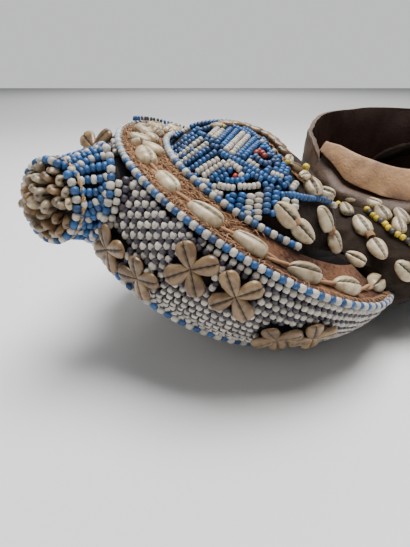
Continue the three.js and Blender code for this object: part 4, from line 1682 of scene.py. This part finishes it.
@dataclass
class RimCowries:
    """The cowries on a twisted cord along the band, and the small ones inside it: angle, inward share, swing."""

    angles: tuple[float, ...] = (-66, -50, -34, -18, -2, 16, 33.5, 51, 70, 91, 117)
    small: tuple[Size, ...] = (
        (-9, 0.62, 50), (-15, 0.36, 75), (-23, 0.66, 25), (-28, 0.4, 60), (-36, 0.72, -10), (-43, 0.5, 45),
        (-50, 0.74, 20), (-58, 0.6, 70),
    )
    radius: float = 104.5
    height: float = 6.1
    size: Size = (11.4, 6.9, 6.2)

    def dress(self, kit: Kit) -> None:
        """Builds the shells, and twists two strands of raffia into the cord under them.

        Args:
            kit: The shared templates.
        """
        chance = random.Random("rim_cowries")
        batch = Batch("rim_cowries", chance)
        for angle in self.angles:
            turn = math.radians(angle + chance.uniform(-1, 1))
            out, tilt = outwards(turn), math.radians(chance.uniform(-22, 12))
            up = UP * math.cos(tilt) - out * math.sin(tilt)
            along = np.array([-math.sin(turn), math.cos(turn), chance.uniform(-0.05, 0.08)])
            along = along + out * chance.uniform(-0.12, 0.12)
            place, size = out * self.radius + UP * self.height, np.array(self.size) * chance.uniform(0.94, 1.06)
            batch.add(kit.shell, from_rim(place), from_rim(along), from_rim(up), size, Finish.CREAM_COWRIE)
        for angle, inward, swing in self.small:
            place = from_rim(band_point(inward, angle, 9.4 + 3.0 * (inward - 0.5)))
            along = from_rim(outwards(math.radians(angle + 90 + swing)) + UP * 0.1)
            batch.add(kit.shell, place, along, from_rim(UP), np.array(self.size) * 0.68, Finish.CREAM_COWRIE)
        batch.build("cowrie", "rim_cowrie_string")
        angles = np.arange(-75.0, 128.0, 0.6)
        turn, lines = np.radians(angles), []
        for strand in range(2):
            phase = np.radians(angles * 18.0) + strand * math.pi
            reach = self.radius + 1.05 * np.cos(phase)
            line = np.stack([reach * np.cos(turn), reach * np.sin(turn), 5.7 + 1.05 * np.sin(phase)], axis=1)
            lines.append(from_rim(line))
        tube("rim_cord", lines, [1.25, 1.25], 6)


def detail_spots(*flat: float) -> tuple[Spot, ...]:
    """Turns x and y numbers of the seven times enlarged detail of the dome into spots."""
    return tuple((x / 7.0 + 150.0, y / 7.0 + 115.0) for x, y in zip(flat[::2], flat[1::2]))


@dataclass(frozen=True)
class Strand:
    """One thread of beads on the dome, by its finish and its corners."""

    finish: Finish
    corners: tuple[Spot, ...]
    across: float = 4.4
    pitch: float = 2.8


def drawn(finish: Finish, *flat: float, **bead: float) -> Strand:
    """Gives a strand by x and y numbers of the enlarged detail."""
    return Strand(finish, detail_spots(*flat), **bead)


B, W, R = Finish.BLUE, Finish.WHITE, Finish.RED
INTERLACE = (
    drawn(B, 158, 250, 235, 185, 318, 128), drawn(B, 162, 283, 250, 210, 345, 142),
    drawn(W, 172, 320, 270, 240, 368, 165), drawn(W, 224, 337, 315, 265, 408, 198),
    drawn(B, 205, 385, 320, 300, 432, 222), drawn(B, 250, 410, 360, 330, 468, 255),
    drawn(W, 330, 400, 410, 350, 495, 300), drawn(W, 375, 428, 455, 375, 532, 328),
    drawn(W, 418, 150, 480, 92), drawn(W, 446, 168, 512, 108), drawn(B, 468, 200, 568, 96),
    drawn(B, 500, 232, 605, 112), drawn(W, 530, 250, 650, 130), drawn(W, 572, 276, 692, 145),
    drawn(B, 612, 294, 734, 165), drawn(B, 650, 302, 765, 190),
    drawn(B, 345, 130, 400, 160, 450, 205, 505, 270, 560, 300, 640, 335, 760, 405, 880, 478),
    drawn(B, 330, 100, 400, 135, 455, 175, 500, 230), drawn(B, 505, 300, 600, 340, 720, 420, 860, 490),
    drawn(W, 500, 300, 600, 362, 700, 432), drawn(W, 480, 335, 560, 372, 660, 440),
    drawn(W, 660, 312, 760, 372, 860, 440), drawn(W, 690, 340, 790, 400, 880, 455),
    drawn(B, 430, 452, 480, 410, 540, 378, 600, 380, 655, 415, 705, 455), drawn(B, 470, 465, 520, 430, 560, 412),
    drawn(B, 420, 425, 500, 380, 560, 350), drawn(R, 555, 428, 600, 432, 640, 452), drawn(R, 570, 448, 620, 456),
    drawn(B, 690, 232, 735, 290, 785, 335, 850, 342), drawn(B, 670, 262, 715, 315, 770, 360),
    drawn(R, 735, 232, 785, 270, 822, 318), drawn(R, 738, 262, 790, 308), drawn(R, 760, 242, 815, 292),
    drawn(B, 742, 168, 800, 215, 860, 285, 905, 345), drawn(B, 770, 200, 830, 262, 880, 335, 900, 372),
    drawn(W, 776, 188, 840, 235, 893, 282), drawn(R, 450, 208, 480, 238, 500, 262), drawn(R, 270, 412, 305, 432),
    drawn(W, 850, 412, 900, 428, 935, 442), drawn(B, 900, 470, 940, 458, 985, 442), drawn(B, 930, 500, 985, 470),
    drawn(W, 990, 520, 1030, 470), drawn(W, 270, 472, 330, 462, 400, 470, 460, 485, 520, 502, 600, 512),
    drawn(W, 262, 492, 330, 486, 400, 492, 470, 508), drawn(B, 330, 520, 400, 516, 470, 520, 540, 528),
    drawn(B, 360, 560, 400, 540), drawn(W, 410, 575, 440, 545, 520, 562), drawn(W, 620, 500, 700, 500, 780, 488),
    drawn(B, 602, 520, 570, 600, 545, 690, across=5.3, pitch=3.3),
    drawn(B, 664, 520, 632, 610, 612, 706, across=5.3, pitch=3.3),
    drawn(W, 722, 530, 695, 620, 680, 725, across=5.5, pitch=3.4),
    drawn(W, 772, 520, 758, 620, 750, 742, across=5.5, pitch=3.4),
    drawn(B, 826, 520, 818, 610, 812, 722, across=5.3, pitch=3.3),
    drawn(B, 884, 540, 878, 600, 872, 650, across=5.3, pitch=3.3),
    drawn(W, 950, 592, 942, 640, across=5.3, pitch=3.4), drawn(W, 1012, 600, 1010, 668, across=5.3, pitch=3.4),
    drawn(B, 915, 560, 1000, 560, 1090, 580, 1180, 588, 1262, 602), drawn(B, 1040, 545, 1110, 560, 1190, 570),
    drawn(W, 1262, 622, 1330, 650, 1400, 680),
)


@dataclass
class BeadPanel:
    """The dome's bead panel: drawn strands on the seen side, plain rows on the hidden one, and a hem."""

    lift: float = 2.4
    fill_across: float = 4.3
    fill_pitch: float = 3.0
    fill_slope: float = 0.7
    outline: tuple[Spot, ...] = detail_spots(
        150, 235, 330, 92, 560, 70, 700, 110, 800, 180, 900, 285, 990, 430, 1040, 530, 1090, 575, 1000, 590,
        900, 600, 860, 700, 560, 700, 470, 590, 330, 530, 250, 480, 160, 340,
    )
    hem: tuple[Spot, ...] = (
        (213, 130), (228, 127), (243, 129), (256, 134), (268, 140), (278, 149), (286, 160), (296, 172), (306, 181),
        (317, 188),
    )
    taken: list[Array] = field(default_factory=list)

    def build_cloth(self) -> None:
        """Lays the panel's cloth close over the dome."""
        piece = node_copy("interlace_panel", "panel_cloth")
        points = read_points(piece)
        outer = DOME.inside(points, 1.8) > 1.0
        points[outer] = DOME.settle(points[outer], 1.2)
        write_points(piece, points)
        hand_over(piece, "blue_bead", "interlace_panel", finish=Finish.BACKING)

    @staticmethod
    def on_dome(corners: Sequence[Spot], lift: float) -> Array:
        """Lays a smooth line through spots on the dome, without what lies beside it."""
        found = [DOME.seen(x, y, lift) for x, y in smooth_line(corners)]
        return np.array([place for place in found if place is not None]).reshape(-1, 3)

    def apart(self, places: Array, gap: float) -> Array:
        """Says which level places are at least a gap from all beads so far.

        Args:
            places: Level places.
            gap: The least distance, in millimetres.

        Returns:
            True for each place that is far enough away.
        """
        if not self.taken or not len(places):
            return np.ones(len(places), bool)
        away = np.linalg.norm(places[:, None, :] - np.concatenate(self.taken)[None, :, :], axis=2)
        return away.min(axis=1) > gap

    def thread(self, batch: Batch, kit: Kit, strand: Strand) -> None:
        """Threads one drawn strand, leaving out beads where others are.

        Args:
            batch: The piece that gets the beads.
            kit: The shared templates.
            strand: The drawn strand.
        """
        line = self.on_dome(strand.corners, self.lift)
        if len(line) < 2:
            return
        places, along = resample(line, strand.pitch, 0.3)
        keep = self.apart(places, 0.78 * strand.across)
        places, along = places[keep], along[keep]
        size = np.array([strand.pitch * 0.52, strand.across / 2, strand.across / 2])
        sizes = size * draws(batch.chance, 0.93, 1.05, len(places))
        batch.add(kit.bead, places, along, DOME.outward(places), sizes, strand.finish)
        self.taken.append(places)

    def loop(self, height: float) -> Array:
        """Gives the rim places where a sloping plane at a height cuts the dome's beads.

        Args:
            height: How far the plane is from the rim's middle, along its own normal.

        Returns:
            The places along the cut.
        """
        normal = unit(np.array([self.fill_slope, 0.0, 1.0]))
        middle, half = DOME.middle @ RIM_TURN, DOME.half + self.lift
        first = np.array([0.0, 1.0, 0.0])
        second, offset = np.cross(normal, first), height - middle @ normal
        places = []
        for turn in np.radians(np.arange(0.0, 361.0, 2.0)):
            way = first * math.cos(turn) + second * math.sin(turn)
            reach = crossing(normal * offset / half, way / half, 1.0)
            if reach is not None:
                places.append(middle + normal * offset + way * reach)
        return np.array(places)

    def fill(self, batch: Batch, kit: Kit) -> None:
        """Fills what the drawn strands leave free, and the hidden side, with rows of beads.

        Args:
            batch: The piece that gets the beads.
            kit: The shared templates.
        """
        for row in [*range(16), *(whole + part / 3 for part in (1, 2) for whole in range(16))]:
            line, between = self.loop((55.5 + row * 5.4) / math.hypot(self.fill_slope, 1.0)), row != int(row)
            if len(line) < 10:
                continue
            rim_places, along = resample(line, self.fill_pitch)
            places = from_rim(rim_places)
            outs = DOME.outward(places)
            facing = VIEW.faced(places, outs)
            hidden = ~facing & (rim_places[:, 0] > 29.0) & (not between)
            keep = ((facing & within(self.outline, VIEW.spots(places))) | hidden) & (BODY.inside(places, 3.0) > 1.0)
            keep &= self.apart(places, 2.9 if between else 3.3)
            white = keep & hidden & ((np.arange(len(places)) + 3 * row) % 24 < 7)
            size = (self.fill_pitch * 0.5, self.fill_across / 2, self.fill_across / 2)
            parts = (white, Finish.WHITE), (keep & ~white, Finish.BLUE)
            batch.share_out(kit.bead, places, from_rim(along), outs, size, parts)
            self.taken.append(places[keep])

    def build_hem(self, kit: Kit) -> None:
        """Binds the panel's back edge with raffia, small tan shells and a few yellow beads.

        Args:
            kit: The shared templates.
        """
        chance = random.Random("hem")
        line = self.on_dome(self.hem, 1.6)
        side, lines = unit(np.cross(DOME.outward(line), np.gradient(line, axis=0))), []
        for strand in range(9):
            wander = draws(chance, -0.5, 0.5, len(line), 3)
            lines.append(line + side * (strand - 4) * 0.9 + wander)
        tube("panel_hem", lines, [0.6] * 9, 5)
        batch = Batch("hem_shells", chance)
        for place, way in zip(*resample(line, 7.6, 0.4)):
            out = DOME.outward(place)[0]
            way = swung(way, out, chance.uniform(-1.1, 1.1))
            size = np.array([5.4, 3.6, 2.8]) * chance.uniform(0.9, 1.1)
            finish = chance.choice([Finish.TAN_COWRIE, Finish.TAN_COWRIE, Finish.CREAM_COWRIE])
            batch.add(kit.small_shell, place + out * 2.2, way, out, size, finish)
            batch.add(kit.bead, place + out * 1.6 + unit(way) * 4.6, way, out, (1.5, 1.8, 1.8), Finish.YELLOW)
        batch.build("cowrie")

    def dress(self, kit: Kit) -> None:
        """Builds the panel.

        Args:
            kit: The shared templates.
        """
        self.build_cloth()
        batch = Batch("interlace_beads", random.Random("panel"))
        for strand in INTERLACE:
            self.thread(batch, kit, strand)
        self.fill(batch, kit)
        batch.build("blue_bead")
        self.build_hem(kit)


@dataclass
class Helmet:
    """The felt-covered helmet, with pairs of cowries tied to it: an egg and the angles of both shells."""

    pairs: tuple[tuple[Egg, Spot, Spot], ...] = (
        (DOME, (66, 26.5), (79, 20.5)), (DOME, (96, 34), (111, 18)), (BODY, (-133, 46), (-125, 29)),
        (BODY, (-115, 13), (-107, -3)), (BODY, (-92, 12), (-88, -14)), (BODY, (92, -2), (90, -24)),
        (BODY, (64, -8), (62, -30)),
    )
    size: Size = (9.3, 6.8, 4.8)
    snap: float = 2.2
    level_normals: float = 0.55

    def build_shell(self) -> None:
        """Lays felt over the shell, rounded to the helmet's true forms where its faces follow them."""
        piece = node_copy("helmet_shell", "felt_helmet")
        edit(piece, "FACE", lambda: bpy.ops.mesh.subdivide(number_cuts=2))
        points = read_points(piece)
        normals = np.array([vertex.normal[:] for vertex in piece.data.vertices])
        best, nearest = np.full(len(points), self.snap), points.copy()
        for egg in EGGS:
            settled = egg.settle(points)
            away = np.linalg.norm(settled - points, axis=1)
            facing = np.abs(np.sum(normals * egg.outward(points), axis=1)) > self.level_normals
            closer = (away < best) & facing
            nearest[closer] = settled[closer]
            best[closer] = away[closer]
        resting = points[:, 2] < FLOOR + 0.02
        nearest[resting] = points[resting]
        nearest[:, 2] = np.maximum(nearest[:, 2], FLOOR)
        write_points(piece, nearest)
        choose(piece)
        bpy.ops.object.shade_smooth_by_angle(angle=math.radians(40))
        hand_over(piece, "felt", "helmet_shell", finish=Finish.FELT)

    def dress(self, kit: Kit) -> None:
        """Builds the helmet, and ties its pairs of shells, end to end, with a knot of raffia between.

        Args:
            kit: The shared templates.
        """
        self.build_shell()
        knots = []
        arc = np.linspace(-0.5, math.pi + 0.5, 9)[:, None]
        for number, (egg, first, second) in enumerate(self.pairs, 1):
            node = f"cowrie_pair_{number}"
            batch = Batch(f"{node}_dressed", random.Random(node))
            spots = [egg.spot(*first, 2.6), egg.spot(*second, 2.6)]
            way, out = unit(spots[1] - spots[0]), egg.outward(spots[0])[0]
            for place, sign in zip(spots, (1.0, -1.0)):
                size = np.array(self.size) * batch.chance.uniform(0.95, 1.05)
                batch.add(kit.shell, place, way * sign, egg.outward(place), size, Finish.CREAM_COWRIE)
            batch.build("cowrie", node)
            middle, side = (spots[0] + spots[1]) / 2 + out * 1.4, np.cross(way, out)
            for turn in range(5):
                shift = way * (turn - 2) * 0.7
                knots.append(middle + shift + side * 3.0 * np.cos(arc) + out * 2.4 * np.sin(arc))
        tube("pair_knots", knots, [0.55] * len(knots), 5)


@dataclass
class Collar:
    """The standing hide collar, its near side folded out so that the flesh side shows."""

    middle: Spot = (125.0, 76.0)
    half: Spot = (71.0, 62.0)
    thickness: float = 3.2
    near_top: float = 24.0
    far_top: float = 63.0
    fold: float = 19.0
    flare: float = 24.0
    steps: int = 264
    rim_change: tuple[tuple[float, ...], tuple[float, ...]] = (
        (186, 192, 198, 203, 207, 220, 235, 250, 265, 280), (0, -2, -6, -15, 9, 10, 8, 4, 1, 0),
    )

    @staticmethod
    def nearness(turn: float, power: float) -> float:
        """Says from 0 to 1 how near to the near side a turn round the collar is."""
        return ((1.0 - math.sin(turn + 0.2)) / 2.0) ** power

    def plan(self, turn: float, offset: float) -> Spot:
        """Gives a level x and y round the collar's outline, grown by an offset."""
        x = self.middle[0] + (self.half[0] + offset) * math.cos(turn)
        return x, self.middle[1] + (self.half[1] + offset) * math.sin(turn)

    def section(self, turn: float) -> list[tuple[float, float, float, float]]:
        """Gives the wall's section at a turn: offset, height, how much it is flesh side, and how much it is dark
        inside or painted shade under the fold.

        Args:
            turn: The turn round the collar, in radians.

        Returns:
            One row for each corner of the section.
        """
        half, degrees = self.thickness / 2, math.degrees(turn)
        folded = float(np.interp(degrees, (203, 207.5, 318, 345), (0, 1, 1, 0)))
        top = self.far_top + (self.near_top - self.far_top) * self.nearness(turn, 1.3)
        top += float(np.interp(degrees, *self.rim_change))
        flare = self.flare * self.nearness(turn, 3)
        fold = (0.06 + 0.94 * self.nearness(turn, 2)) * folded * float(np.interp(degrees, (207, 230), (0.35, 1)))
        roll = 4.5 + 5.0 * math.exp(-(((degrees - 226) / 16) ** 2))
        drop, lip = self.fold * fold, 0.25 + 0.75 * folded
        dent = 3.0 * folded * math.exp(-(((degrees - 214) / 9) ** 2))
        return [
            (flare - half, -45.0, 0.0, 1.0),
            (flare - half, -6.0, 0.0, 1.0),
            (0.4 * flare - half, 0.5 * (top - 6.0), 0.0, 1.0),
            (-half, top - 2.5, 0.1 * folded, 0.8),
            (-half + 0.6 * lip, top - 0.4, 0.5 * folded, 0.2),
            (half + 2.0 * fold, top + 0.9 * lip, folded, 0.0),
            (half + 2.0 * lip + 6.0 * fold, top - 0.45 * drop, folded, 0.0),
            (half + 4.0 * lip + 9.0 * fold, top - drop - 1.0, folded, 0.0),
            # The fold's underside and the wall just under its free edge get the inner mark: painted shade under the
            # flap.
            (half + 3.4 * lip + 9.0 * fold, top - drop - 2.2, 0.1 * folded, 0.5 * folded),
            (half + 1.5 * lip + 7.0 * fold, top - drop - 1.2, 0.0, 0.8 * folded),
            (half + 1.0 + 1.5 * fold, top - 0.5 * drop - 3.0, 0.0, 0.8 * folded),
            (0.2 * flare + half + 2.5 * fold - dent, top - drop - 4.5, 0.0, 0.2 * folded),
            (0.55 * flare + half + 0.6 + roll * folded - dent, 0.5 * (top - drop), 0.0, 0.0),
            (flare + half + 1.5 * fold, -1.0, 0.0, 0.0),
            (flare + half, -10.0, 0.0, 0.0),
            (flare + half, -45.0, 0.0, 0.0),
        ]

    def wrinkled(self, turn: float, offset: float, height: float, flesh: float, inner: float) -> list[float]:
        """Pushes one point of the wall in or out by creases.

        Args:
            turn: The turn round the collar.
            offset: The point's distance out from the collar's outline.
            height: Its height over the rim's middle.
            flesh: How much the flesh side shows there.
            inner: How much of the dark inside shows there, or painted shade under the fold.

        Returns:
            The level place, and the two marks.
        """
        x, y, _ = outwards(turn)
        ring = Vector((x * 3.0, y * 3.0, height * 0.03))
        push = 2.2 * noise.noise(ring) + 0.9 * noise.noise(ring * 3.1)
        push += 0.5 * wobble((x * 14.0, y * 14.0, height * 0.02))
        lift = 1.6 * wobble((x * 2.2, y * 2.2, 7.0)) if height > 10 else 0.0
        return [*self.plan(turn, offset + push), height + lift, *np.clip([flesh, inner], 0.0, 1.0)]

    def dress(self) -> None:
        """Builds the collar."""
        turns = [step / self.steps * 2 * math.pi for step in range(self.steps)]
        sections = [[self.wrinkled(turn, *row) for row in smooth_line(self.section(turn), 4)] for turn in turns]
        rings = np.array(sections).transpose(1, 0, 2)
        faces = grid_faces(*rings.shape[:2], True, True)
        piece = mesh_piece("hide_collar", rings[:, :, :3].reshape(-1, 3), faces)
        write_attribute(piece, "flesh", rings[:, :, 3].reshape(-1))
        write_attribute(piece, "inner", rings[:, :, 4].reshape(-1))
        turn_faces_out(piece)
        subdivide(piece)
        hand_over(piece, "hide", "neck_collar", finish=Finish.HIDE)


@dataclass
class CollarBorder:
    """The two strings at the collar's foot: beads close to it, and cowries outside them.

    What is seen of them is given by spots, and for the shells also by a swing in degrees. What is hidden runs
    round the collar.
    """

    bead_offset: float = 4.9
    cowrie_offset: float = 13.0
    cowries: int = 26
    beads: tuple[Spot, ...] = (
        (366, 208), (368, 211), (373.6, 215.7), (378.6, 220), (383.6, 222), (390, 230), (397, 234), (404, 238),
        (412, 244),
    )
    single_beads: tuple[Spot, ...] = ((346, 200), (306, 167), (330, 199), (338, 204))
    shells: tuple[Size, ...] = (
        (312, 186, -20), (324, 193, 20), (346, 209, -28), (382, 213, -22), (398.6, 225, -35), (401, 216, -15),
        (352, 199, 40), (372, 203, 10), (355.5, 258.5, 25),
    )

    def onwards(self, collar: Collar, offset: float, lift: float, start: Array) -> Array:
        """Gives a string's hidden part, round the collar's foot from near a start to the bonnet.

        Args:
            collar: The collar.
            offset: The string's distance out from the collar.
            lift: Its height over the felt.
            start: The level place where the seen part ends.

        Returns:
            The line's level places.
        """
        line = []
        for turn in np.linspace(0, FULL_TURN, 241)[:-1]:
            x, y = collar.plan(turn, offset + collar.flare * collar.nearness(turn, 3))
            line.append((x, y, helmet_top(x, y) + lift))
        line = np.array(line)
        line = np.roll(line, -int(np.linalg.norm(line - start, axis=1).argmin()) - 3, axis=0)
        past = (line[:, 0] < 80.0) & (line[:, 1] > 50.0)
        return line[: int(past.argmax())] if past.any() else line

    def dress(self, kit: Kit, collar: Collar) -> None:
        """Builds both strings.

        Args:
            kit: The shared templates.
            collar: The collar that they go round.
        """
        chance = random.Random("border")
        beads, shells = Batch("collar_beads", chance), Batch("border_cowries", chance)
        seen, singles = (
            np.array([on_felt(x, y, 1.9) for x, y in spots]) for spots in (self.beads, self.single_beads)
        )
        line = np.vstack([seen, self.onwards(collar, self.bead_offset, 1.8, seen[-1])])
        places, along = resample(line, 4.2)
        dark = np.arange(len(places) + len(singles)) % 3 == 1
        dark[len(places) :] = False
        places, along = np.vstack([places, singles]), np.vstack([along, along[: len(singles)]])
        parts = (~dark, Finish.YELLOW), (dark, Finish.NIGHT)
        beads.share_out(kit.bead, places, along, UP, (2.0, 2.4, 2.4), parts)
        beads.build("yellow_bead", "collar_bead_string")
        seen_way = unit(seen[-1] - seen[0])
        seats = [(on_felt(x, y, 2.6), seen_way, math.radians(swing)) for x, y, swing in self.shells]
        line = self.onwards(collar, self.cowrie_offset, 2.6, seats[4][0])
        length = np.linalg.norm(np.diff(line, axis=0), axis=1).sum()
        places, along = resample(line, length / self.cowries, 0.9)
        seats += [(place, way, chance.uniform(-0.5, 0.5)) for place, way in zip(places, along)]
        for place, way, swing in seats:
            tilt = np.array([chance.uniform(-0.2, 0.2), chance.uniform(-0.3, 0.0), 0.0])
            out = unit(BODY.outward(place)[0] + tilt)
            way = swung(unit(way - out * (way @ out)), out, swing)
            size = np.array([8.6, 5.9, 4.6]) * chance.uniform(0.88, 1.06)
            shells.add(kit.shell, place, way, out, size, Finish.CREAM_COWRIE)
        shells.build("cowrie", "border_cowrie_string")


def lump(height: float, at: Array, wide: float, up: Array, tall: float) -> Array:
    """Gives a soft lump's height at distances across and up from its middle."""
    return height * np.exp(-((at / wide) ** 2) - (up / tall) ** 2)


@dataclass
class FacePanel:
    """The calm, plain face of hide on the helmet's end, chin up, with a stitched edge."""

    half: Spot = (50.0, 44.0)
    drop: float = -6.0
    rings: int = 56
    steps: int = 144
    thickness: float = 3.4

    @staticmethod
    def relief(y: Array, z: Array) -> Array:
        """Gives how far the features stand out; the face is upside down, so its chin is at plus z.

        Args:
            y: Places across the face.
            z: Places from the brow (minus) to the chin (plus).

        Returns:
            The height of the features there.
        """
        side, none = np.abs(y), 0 * y
        bridge = np.clip((z + 26.0) / 29.0, 0.0, 1.0)
        nose = (2.5 + 7.0 * bridge) * np.exp(-((y / (3.6 + 3.0 * bridge)) ** 2))
        nose *= np.clip((z + 30.0) / 8.0, 0.0, 1.0) * np.clip((8.0 - z) / 4.5, 0.0, 1.0)
        nostrils = lump(2.6, side - 6.0, 3.0, z - 3.5, 3.4)
        lips = lump(3.6, none, 1.0, z - 13.6, 2.3) + lump(4.2, none, 1.0, z - 18.8, 2.8)
        lips -= lump(1.6, none, 1.0, z - 16.1, 0.9)
        lips *= np.sqrt(np.clip(1.0 - (y / 15.0) ** 2, 0.0, 1.0))
        brow = lump(4.2, side - 17.0, 19.0, z + 30.5 - 0.006 * (side - 14.0) ** 2, 4.2)
        eye = lump(3.9, side - 19.0, 8.5, z + 18.0, 5.0) - lump(3.0, side - 19.0, 13.0, z + 18.0, 9.5)
        slit = lump(1.7, side - 19.0, 8.0, z + 16.4 + 0.02 * (side - 19.0) ** 2, 0.9)
        cheek = lump(2.6, side - 25.0, 13.0, z - 3.0, 13.0)
        return nose + nostrils + lips + brow + eye - slit + cheek + lump(4.6, y, 12.0, z - 29.0, 6.5)

    def surface(self, y: Array, z: Array, lift: Array) -> Array:
        """Puts places across the face on the helmet's end, lifted off it, as level ones.

        Args:
            y: Places across the face.
            z: Places from the brow (minus) to the chin (plus).
            lift: How far off the helmet each place is.

        Returns:
            One level place for each.
        """
        half = JAW.half + lift[..., None]
        reach = np.clip(1.0 - (y / half[..., 1]) ** 2 - (z / half[..., 2]) ** 2, 0.02, 1.0)
        return JAW.middle + np.stack([half[..., 0] * np.sqrt(reach), y, z], axis=-1) @ BODY_TURN.T

    def dress(self) -> None:
        """Builds the face and its stitches."""
        turns = np.linspace(0, FULL_TURN, self.steps, endpoint=False)
        shares = np.append(np.linspace(0.02, 1.0, self.rings), 1.0)
        y, z = (np.outer(shares, half * part) for half, part in zip(self.half, (np.cos(turns), np.sin(turns))))
        fade = np.clip((1.0 - shares) / 0.12, 0.0, 1.0)[:, None] ** 0.5
        skin = np.array([[wobble((a * 0.09, b * 0.09, 3.0)) for a, b in zip(*row)] for row in zip(y, z)])
        relief = self.relief(y, z)
        lift = 0.6 + self.thickness * (0.45 + 0.55 * fade) + fade * (relief + 0.5 * skin)
        lift[-1] = 0.5
        front = self.surface(y, z + self.drop, lift).reshape(-1, 3)
        points = np.vstack([front, self.surface(np.zeros(1), np.array([self.drop]), lift[0, :1])])
        faces = [list(range(self.steps * self.rings, self.steps * (self.rings + 1)))[::-1]]
        faces += [[a, d, c, b] for a, b, c, d in grid_faces(self.rings + 1, self.steps, False, True)]
        faces += [[len(points) - 1, step, (step + 1) % self.steps] for step in range(self.steps)]
        piece = mesh_piece("hide_face", points, faces)
        write_attribute(piece, "flesh", np.zeros(len(points)))
        # Painted shade: the near-black inner colour fills the sunken eye slits and the hollow round each eye.
        write_attribute(piece, "inner", np.append(np.clip(-relief * 0.5, 0.0, 1.0) * fade, 0.0))
        turn_faces_out(piece)
        hand_over(piece, "hide", "face_panel", finish=Finish.FACE_HIDE)
        stitches, share = [], np.array([0.93, 0.985, 1.03, 1.0])
        for turn in np.arange(0.0, 360.0, 4.0):
            angle = np.radians([turn, turn, turn + 1.6, turn + 1.6])
            across, up = share * self.half[0] * np.cos(angle), share * self.half[1] * np.sin(angle)
            stitches.append(self.surface(across, up + self.drop, np.array([3.2, 4.4, 0.9, 0.4])))
        tube("face_stitches", stitches, [0.55] * len(stitches), 5)


@dataclass
class Lamp:
    """A soft square light: where it hangs and what it looks at, in metres, its power in watts and its side."""

    name: str
    place: Size
    aim: Size
    power: float
    size: float

    def hang(self) -> None:
        """Adds the light."""
        data = bpy.data.lights.new(self.name, "AREA")
        data.energy, data.size = self.power, self.size
        light = bpy.data.objects.new(self.name, data)
        light.location = self.place
        light.rotation_euler = (Vector(self.aim) - Vector(self.place)).to_track_quat("-Z", "Y").to_euler()
        bpy.context.scene.collection.objects.link(light)


@dataclass
class Studio:
    """The pale floor, the world's light from low and high, and the soft lights."""

    low: tuple[float, Colour] = (0.17, (0.74, 0.75, 0.755))
    high: tuple[float, Colour] = (0.3, (0.13, 0.133, 0.138))
    lamps: tuple[Lamp, ...] = (
        Lamp("far", (0.0, 3.0, 2.4), (0.0, 3.1, 0.0), 60.0, 2.4),
        Lamp("overhead", (0.1, 0.15, 1.4), (0.02, 0.0, 0.05), 40.0, 0.9),
        Lamp("left", (-1.2, -0.9, 0.9), (0.0, 0.0, 0.05), 3.0, 0.9),
    )

    def dress(self) -> None:
        """Sets the stage."""
        bpy.ops.mesh.primitive_plane_add(size=12.0, location=(0.0, 0.0, 0.0))
        floor = bpy.context.active_object
        floor.name = "floor"
        floor.data.materials.append(Finish.GROUND.material())
        world = bpy.data.worlds.new("studio")
        bpy.context.scene.world = world
        world.use_nodes = True
        nodes, links = world.node_tree.nodes, world.node_tree.links
        way, split, ramp = (nodes.new(f"ShaderNode{kind}") for kind in ("TexCoord", "SeparateXYZ", "ValToRGB"))
        links.new(way.outputs["Generated"], split.inputs[0])
        links.new(split.outputs["Z"], ramp.inputs[0])
        links.new(ramp.outputs[0], nodes["Background"].inputs["Color"])
        for element, (position, colour) in zip(ramp.color_ramp.elements, (self.low, self.high)):
            element.position, element.color = position, (*colour, 1.0)
        nodes["Background"].inputs["Strength"].default_value = 1.0
        for lamp in self.lamps:
            lamp.hang()


def main() -> None:
    """Builds the pieces in order."""
    logging.basicConfig(level=logging.INFO, format="%(message)s")
    kit = Kit.modelled()
    trunk = Trunk()
    Bonnet(trunk).dress(kit)
    RearBand().dress()
    RimCowries().dress(kit)
    for rosette in ROSETTES:
        rosette.dress(kit)
    trunk.dress(kit)
    Helmet().dress(kit)
    BeadPanel().dress(kit)
    collar = Collar()
    collar.dress()
    CollarBorder().dress(kit, collar)
    FacePanel().dress()
    Studio().dress()
    VIEW.camera()


if __name__ == "__main__":
    main()
